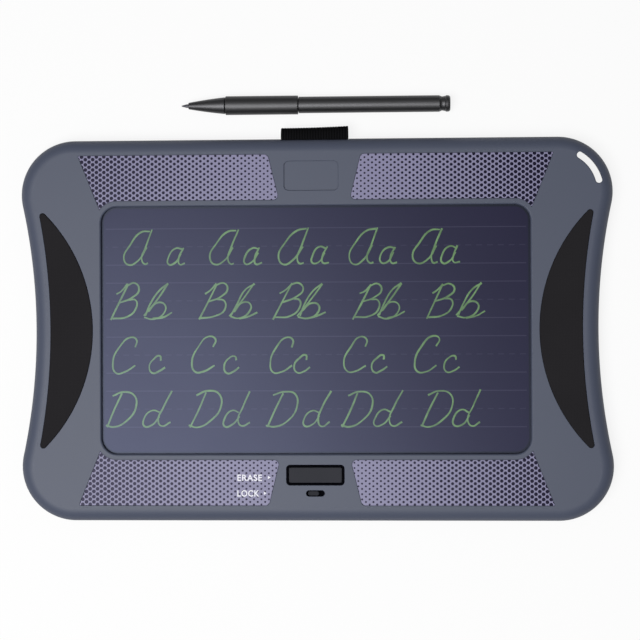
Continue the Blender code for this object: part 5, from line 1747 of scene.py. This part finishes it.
@dataclass
class Stylus:
    """The stylus, turned piece by piece along X."""

    steps: int = 64
    rim: float = 0.00015
    tip: float = 0.00028
    tip_round: tuple[Point, ...] = ((0.0, 0.25), (0.3, 0.75), (1.0, 1.05))
    nose_front: float = 0.00145
    nose_bow: float = 0.00018
    nose_steps: int = 5
    sleeve_bore: float = 0.0032
    sleeve_edge: float = 0.0003
    sleeve_round: tuple[Point, ...] = ((1.0, 0.0), (0.4, 0.15), (0.1, 0.5), (0.0, 1.0))
    nose_spigot: float = 0.0022
    sleeve_spigot: float = 0.0029
    end_bore: float = 0.0019
    end_depth: float = 0.005
    stem: float = 0.0016
    neck: float = 0.0031
    neck_run: tuple[float, ...] = (0.0, 0.12, 0.24, 0.36, 0.5, 0.62, 0.74, 0.86)
    bead_length: float = 0.0024
    bead_front: float = 0.0005
    bead_front_turns: tuple[float, ...] = (0.3, 0.7, 1.1, QUARTER)
    bead_end: float = 0.0011
    bead_end_turns: tuple[float, ...] = (0.0, 0.35, 0.7, 1.05, 1.35)
    bead_flat: float = 0.55

    def turned(self, name: str, profile: Sequence[Point], tube: bool = False) -> bpy.types.Object:
        """A turned piece.

        Args:
            name: its name.
            profile: pairs of X and radius from end to end.
            tube: whether the profile closes on itself, as a bored piece's does.

        Returns:
            The piece.
        """
        y, z = middle("stylus_grip")[1:]
        rings = [[(x, y + a, z + b) for a, b in arc((0.0, 0.0), radius, 0.0, 2 * math.pi, self.steps)[:-1]]
                 for x, radius in profile]
        return smoothed(lofted(name, rings, tube))

    def radius(self, node: str) -> float:
        """The largest radius of a stylus node."""
        low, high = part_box(node)
        return (high.y - low.y) / 2

    def build_point(self) -> None:
        """Model the nib and the nose cone."""
        low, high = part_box("stylus_nib")
        nose_low, nose_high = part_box("stylus_nose")
        wide = self.radius("stylus_nib")
        nib = [(low.x + self.tip * along, self.tip * out) for along, out in self.tip_round]
        nib += [(nose_low.x - wide, wide), (high.x, wide)]
        fitted(self.turned("nib_point", nib), NIB, Body.STYLUS, "nib", "stylus_nib")
        front, back = self.nose_front, self.radius("stylus_nose")
        bore = wide + GAP
        nose = [(nose_low.x, bore), (nose_low.x, front - self.rim), (nose_low.x + self.rim, front)]
        run = nose_high.x - nose_low.x - self.rim
        for step in range(1, self.nose_steps):
            t = step / self.nose_steps
            bow = 4 * self.nose_bow * t * (1 - t)
            nose.append((nose_low.x + self.rim + run * t, front + (back - front) * t + bow))
        nose += [(nose_high.x - self.rim, back), (nose_high.x, back - self.rim), (nose_high.x, bore)]
        fitted(self.turned("nose_cone", nose, True), TUBE, Body.STYLUS, "stylus_body", "stylus_nose")

    def build_shaft(self) -> None:
        """Model the sleeve and the barrel."""
        low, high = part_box("stylus_grip")
        wide = self.radius("stylus_grip")
        edge = [(self.sleeve_edge * inset, self.sleeve_edge * along) for inset, along in self.sleeve_round]
        sleeve = [(low.x, self.sleeve_bore)] + [(low.x + along, wide - inset) for inset, along in edge]
        sleeve += [(high.x - along, wide - inset) for inset, along in reversed(edge)]
        sleeve += [(high.x, self.sleeve_bore)]
        fitted(self.turned("grip_sleeve", sleeve, True), SLEEVE, Body.STYLUS, "stylus_sleeve", "stylus_grip")
        front, end = lowest("stylus_barrel").x, highest("stylus_barrel").x
        tube = self.radius("stylus_barrel")
        shoulder = high.x + GAP
        barrel = [(front, self.nose_spigot), (low.x, self.nose_spigot), (low.x, self.sleeve_spigot),
                  (shoulder, self.sleeve_spigot), (shoulder, tube - self.rim), (shoulder + self.rim, tube),
                  (end - self.rim, tube), (end, tube - self.rim), (end, self.end_bore),
                  (end - self.end_depth, self.end_bore)]
        fitted(self.turned("shaft_tube", barrel), TUBE, Body.STYLUS, "stylus_body", "stylus_barrel")

    def build_end(self) -> None:
        """Model the end cap with its neck and bead."""
        low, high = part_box("stylus_end_cap")
        bead = self.radius("stylus_end_cap")
        flare = self.radius("stylus_barrel") - self.rim - self.neck
        neck_front = highest("stylus_barrel").x + SEAM
        bead_front = high.x - self.bead_length
        run = bead_front - neck_front
        cap = [(low.x, self.stem), (neck_front, self.stem)]
        cap += [(neck_front + run * t, self.neck + flare * (1 - 2 * t) ** 2) for t in self.neck_run]
        cap += [(bead_front + self.bead_front * math.sin(t), bead - self.bead_front * (1 - math.sin(t)))
                for t in self.bead_front_turns]
        cap += [(high.x - self.bead_end * (1 - math.sin(t)), bead - self.bead_end * (1 - math.cos(t)))
                for t in self.bead_end_turns]
        cap += [(high.x, bead * self.bead_flat)]
        fitted(self.turned("end_bead", cap), TUBE, Body.STYLUS, "stylus_body", "stylus_end_cap")

    def build(self) -> None:
        """Model the stylus from its point to its end."""
        self.build_point()
        self.build_shaft()
        self.build_end()


@dataclass
class InnerWorks:
    """Finishes for the frame nodes that stay as they are."""

    finishes: dict[str, Finish] = field(default_factory=lambda: {
        "lcd_film": FILM, "foam_frame": FOAM, "backing_board": BACKING, "flex_tail": FLEX,
        "flex_connector": SOCKET, "main_board": LAMINATE, "driver_chip": PACKAGE, "boost_coil": PACKAGE,
        "tank_capacitor": CERAMIC, "erase_switch": PACKAGE, "erase_switch_stem": STEM, "lock_switch": STEEL,
        "lock_switch_lever": PACKAGE, "coin_cell": STEEL, "positive_contact": STEEL,
        "negative_contact": STEEL, "board_screw_1": STEEL, "board_screw_2": STEEL, "loop_pin": STEEL})

    def build(self) -> None:
        """Give each node its finish."""
        for name, finish in self.finishes.items():
            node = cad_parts[name]
            node.data.materials.clear()
            node.data.materials.append(finish.material())
            LOG.info("%s keeps its frame shape and takes %s", name, finish.name)


@dataclass
class Studio:
    """The floor, the surroundings, the lamps and the camera."""

    target: Spot = (0.00198, 0.00426, 0.006)
    distance: float = 0.713
    tilt: float = math.radians(-0.173)
    swing: float = math.radians(-2.621)
    roll: float = math.radians(0.248)
    lens: float = 90.93
    floor_size: float = 8.0
    floor_gap: float = 0.0001
    floor_colour: Colour = (0.15, 0.15, 0.155)
    floor_seen: Colour = (0.9, 0.9, 0.9)
    floor_white: float = 0.85
    floor_roughness: float = 0.9
    floor_specular: float = 0.1
    sky: tuple[Point, ...] = ((0.0, 0.85), (0.08, 0.12), (0.30, 0.08), (1.0, 0.42))
    key_power: float = 9.2
    key_spot: Spot = (-0.28, -0.22, 1.0)
    key_size: float = 0.6

    def seen(self, graph: Graph) -> bpy.types.NodeSocket:
        """A value that is 1 where a surface is looked at, mirrored or looked through.

        Args:
            graph: the material's nodes.

        Returns:
            The value.
        """
        path = graph.add("ShaderNodeLightPath").outputs
        mirrored = graph.calc("MAXIMUM", path["Is Glossy Ray"], path["Is Transmission Ray"])
        return graph.calc("MAXIMUM", path["Is Camera Ray"], mirrored)

    def build_floor(self) -> None:
        """A plain pale floor that looks white and still takes a shadow."""
        deselect()
        bpy.ops.mesh.primitive_plane_add(size=self.floor_size, location=(0.0, 0.0, -self.floor_gap))
        floor = bpy.context.active_object
        floor.name = "studio_floor"
        graph = Graph("studio_floor")
        seen = self.seen(graph)
        graph.dress(Base_Color=graph.blend(seen, self.floor_colour, self.floor_seen),
                    Roughness=self.floor_roughness, Specular_IOR_Level=self.floor_specular)
        glow = graph.add("ShaderNodeEmission", {"Color": (1.0, 1.0, 1.0, 1.0), "Strength": 1.0})
        share = graph.calc("MULTIPLY", seen, self.floor_white)
        mix = graph.add("ShaderNodeMixShader", {0: share, 1: graph.shader.outputs["BSDF"],
                                                2: glow.outputs["Emission"]})
        graph.put(graph.tree.nodes["Material Output"].inputs["Surface"], mix.outputs["Shader"])
        floor.data.materials.append(graph.material)

    def build_world(self) -> None:
        """Surroundings that are pale at the horizon and softly lit overhead."""
        world = bpy.data.worlds.new("studio")
        bpy.context.scene.world = world
        world.use_nodes = True
        tree = world.node_tree
        ray = tree.nodes.new("ShaderNodeTexCoord")
        parts = tree.nodes.new("ShaderNodeSeparateXYZ")
        ramp = tree.nodes.new("ShaderNodeValToRGB")
        stops = ramp.color_ramp.elements
        for place, _ in self.sky[1:-1]:
            stops.new(place)
        for stop, (place, light) in zip(stops, self.sky):
            stop.position = place
            stop.color = (light, light, light, 1.0)
        tree.links.new(ray.outputs["Generated"], parts.inputs["Vector"])
        tree.links.new(parts.outputs["Z"], ramp.inputs["Fac"])
        tree.links.new(ramp.outputs["Color"], tree.nodes["Background"].inputs["Color"])

    def build_lamps(self) -> None:
        """One soft box over the lower left of the tablet."""
        deselect()
        bpy.ops.object.light_add(type="AREA", location=self.key_spot)
        key = bpy.context.active_object
        key.name = "soft_box"
        key.data.energy = self.key_power
        key.data.shape = "SQUARE"
        key.data.size = self.key_size
        key.rotation_euler = (-Vector(self.key_spot)).to_track_quat("-Z", "Y").to_euler()

    def build_camera(self) -> None:
        """A camera at the photograph's viewing angle."""
        data = bpy.data.cameras.new("view")
        data.lens = self.lens
        camera = bpy.data.objects.new("view", data)
        bpy.context.scene.collection.objects.link(camera)
        turn = (Matrix.Rotation(self.roll, 3, "Z") @ Matrix.Rotation(self.swing, 3, "Y")
                @ Matrix.Rotation(self.tilt, 3, "X")).transposed()
        spot = Vector(self.target) + turn.col[2] * self.distance
        camera.matrix_world = Matrix.Translation(spot) @ turn.to_4x4()
        bpy.context.scene.camera = camera

    def build(self) -> None:
        """Set up the studio and the plain view settings."""
        bpy.context.scene.view_settings.view_transform = "Standard"
        self.build_floor()
        self.build_world()
        self.build_lamps()
        self.build_camera()


def main() -> None:
    """Build the studio and every sub-assembly in order."""
    logging.basicConfig(level=logging.INFO, format="%(message)s")
    plan = Drawing()
    Studio().build()
    for assembly in (FrontShell(plan), BackShell(plan), CornerPanels(plan), Grips(plan), PracticeWriting(),
                     EraseKey(), LockSlider(), KeyLabels(), StylusLoop(), Stylus(), InnerWorks()):
        LOG.info("building %s", type(assembly).__name__)
        assembly.build()
    deselect()


if __name__ == "__main__":
    main()
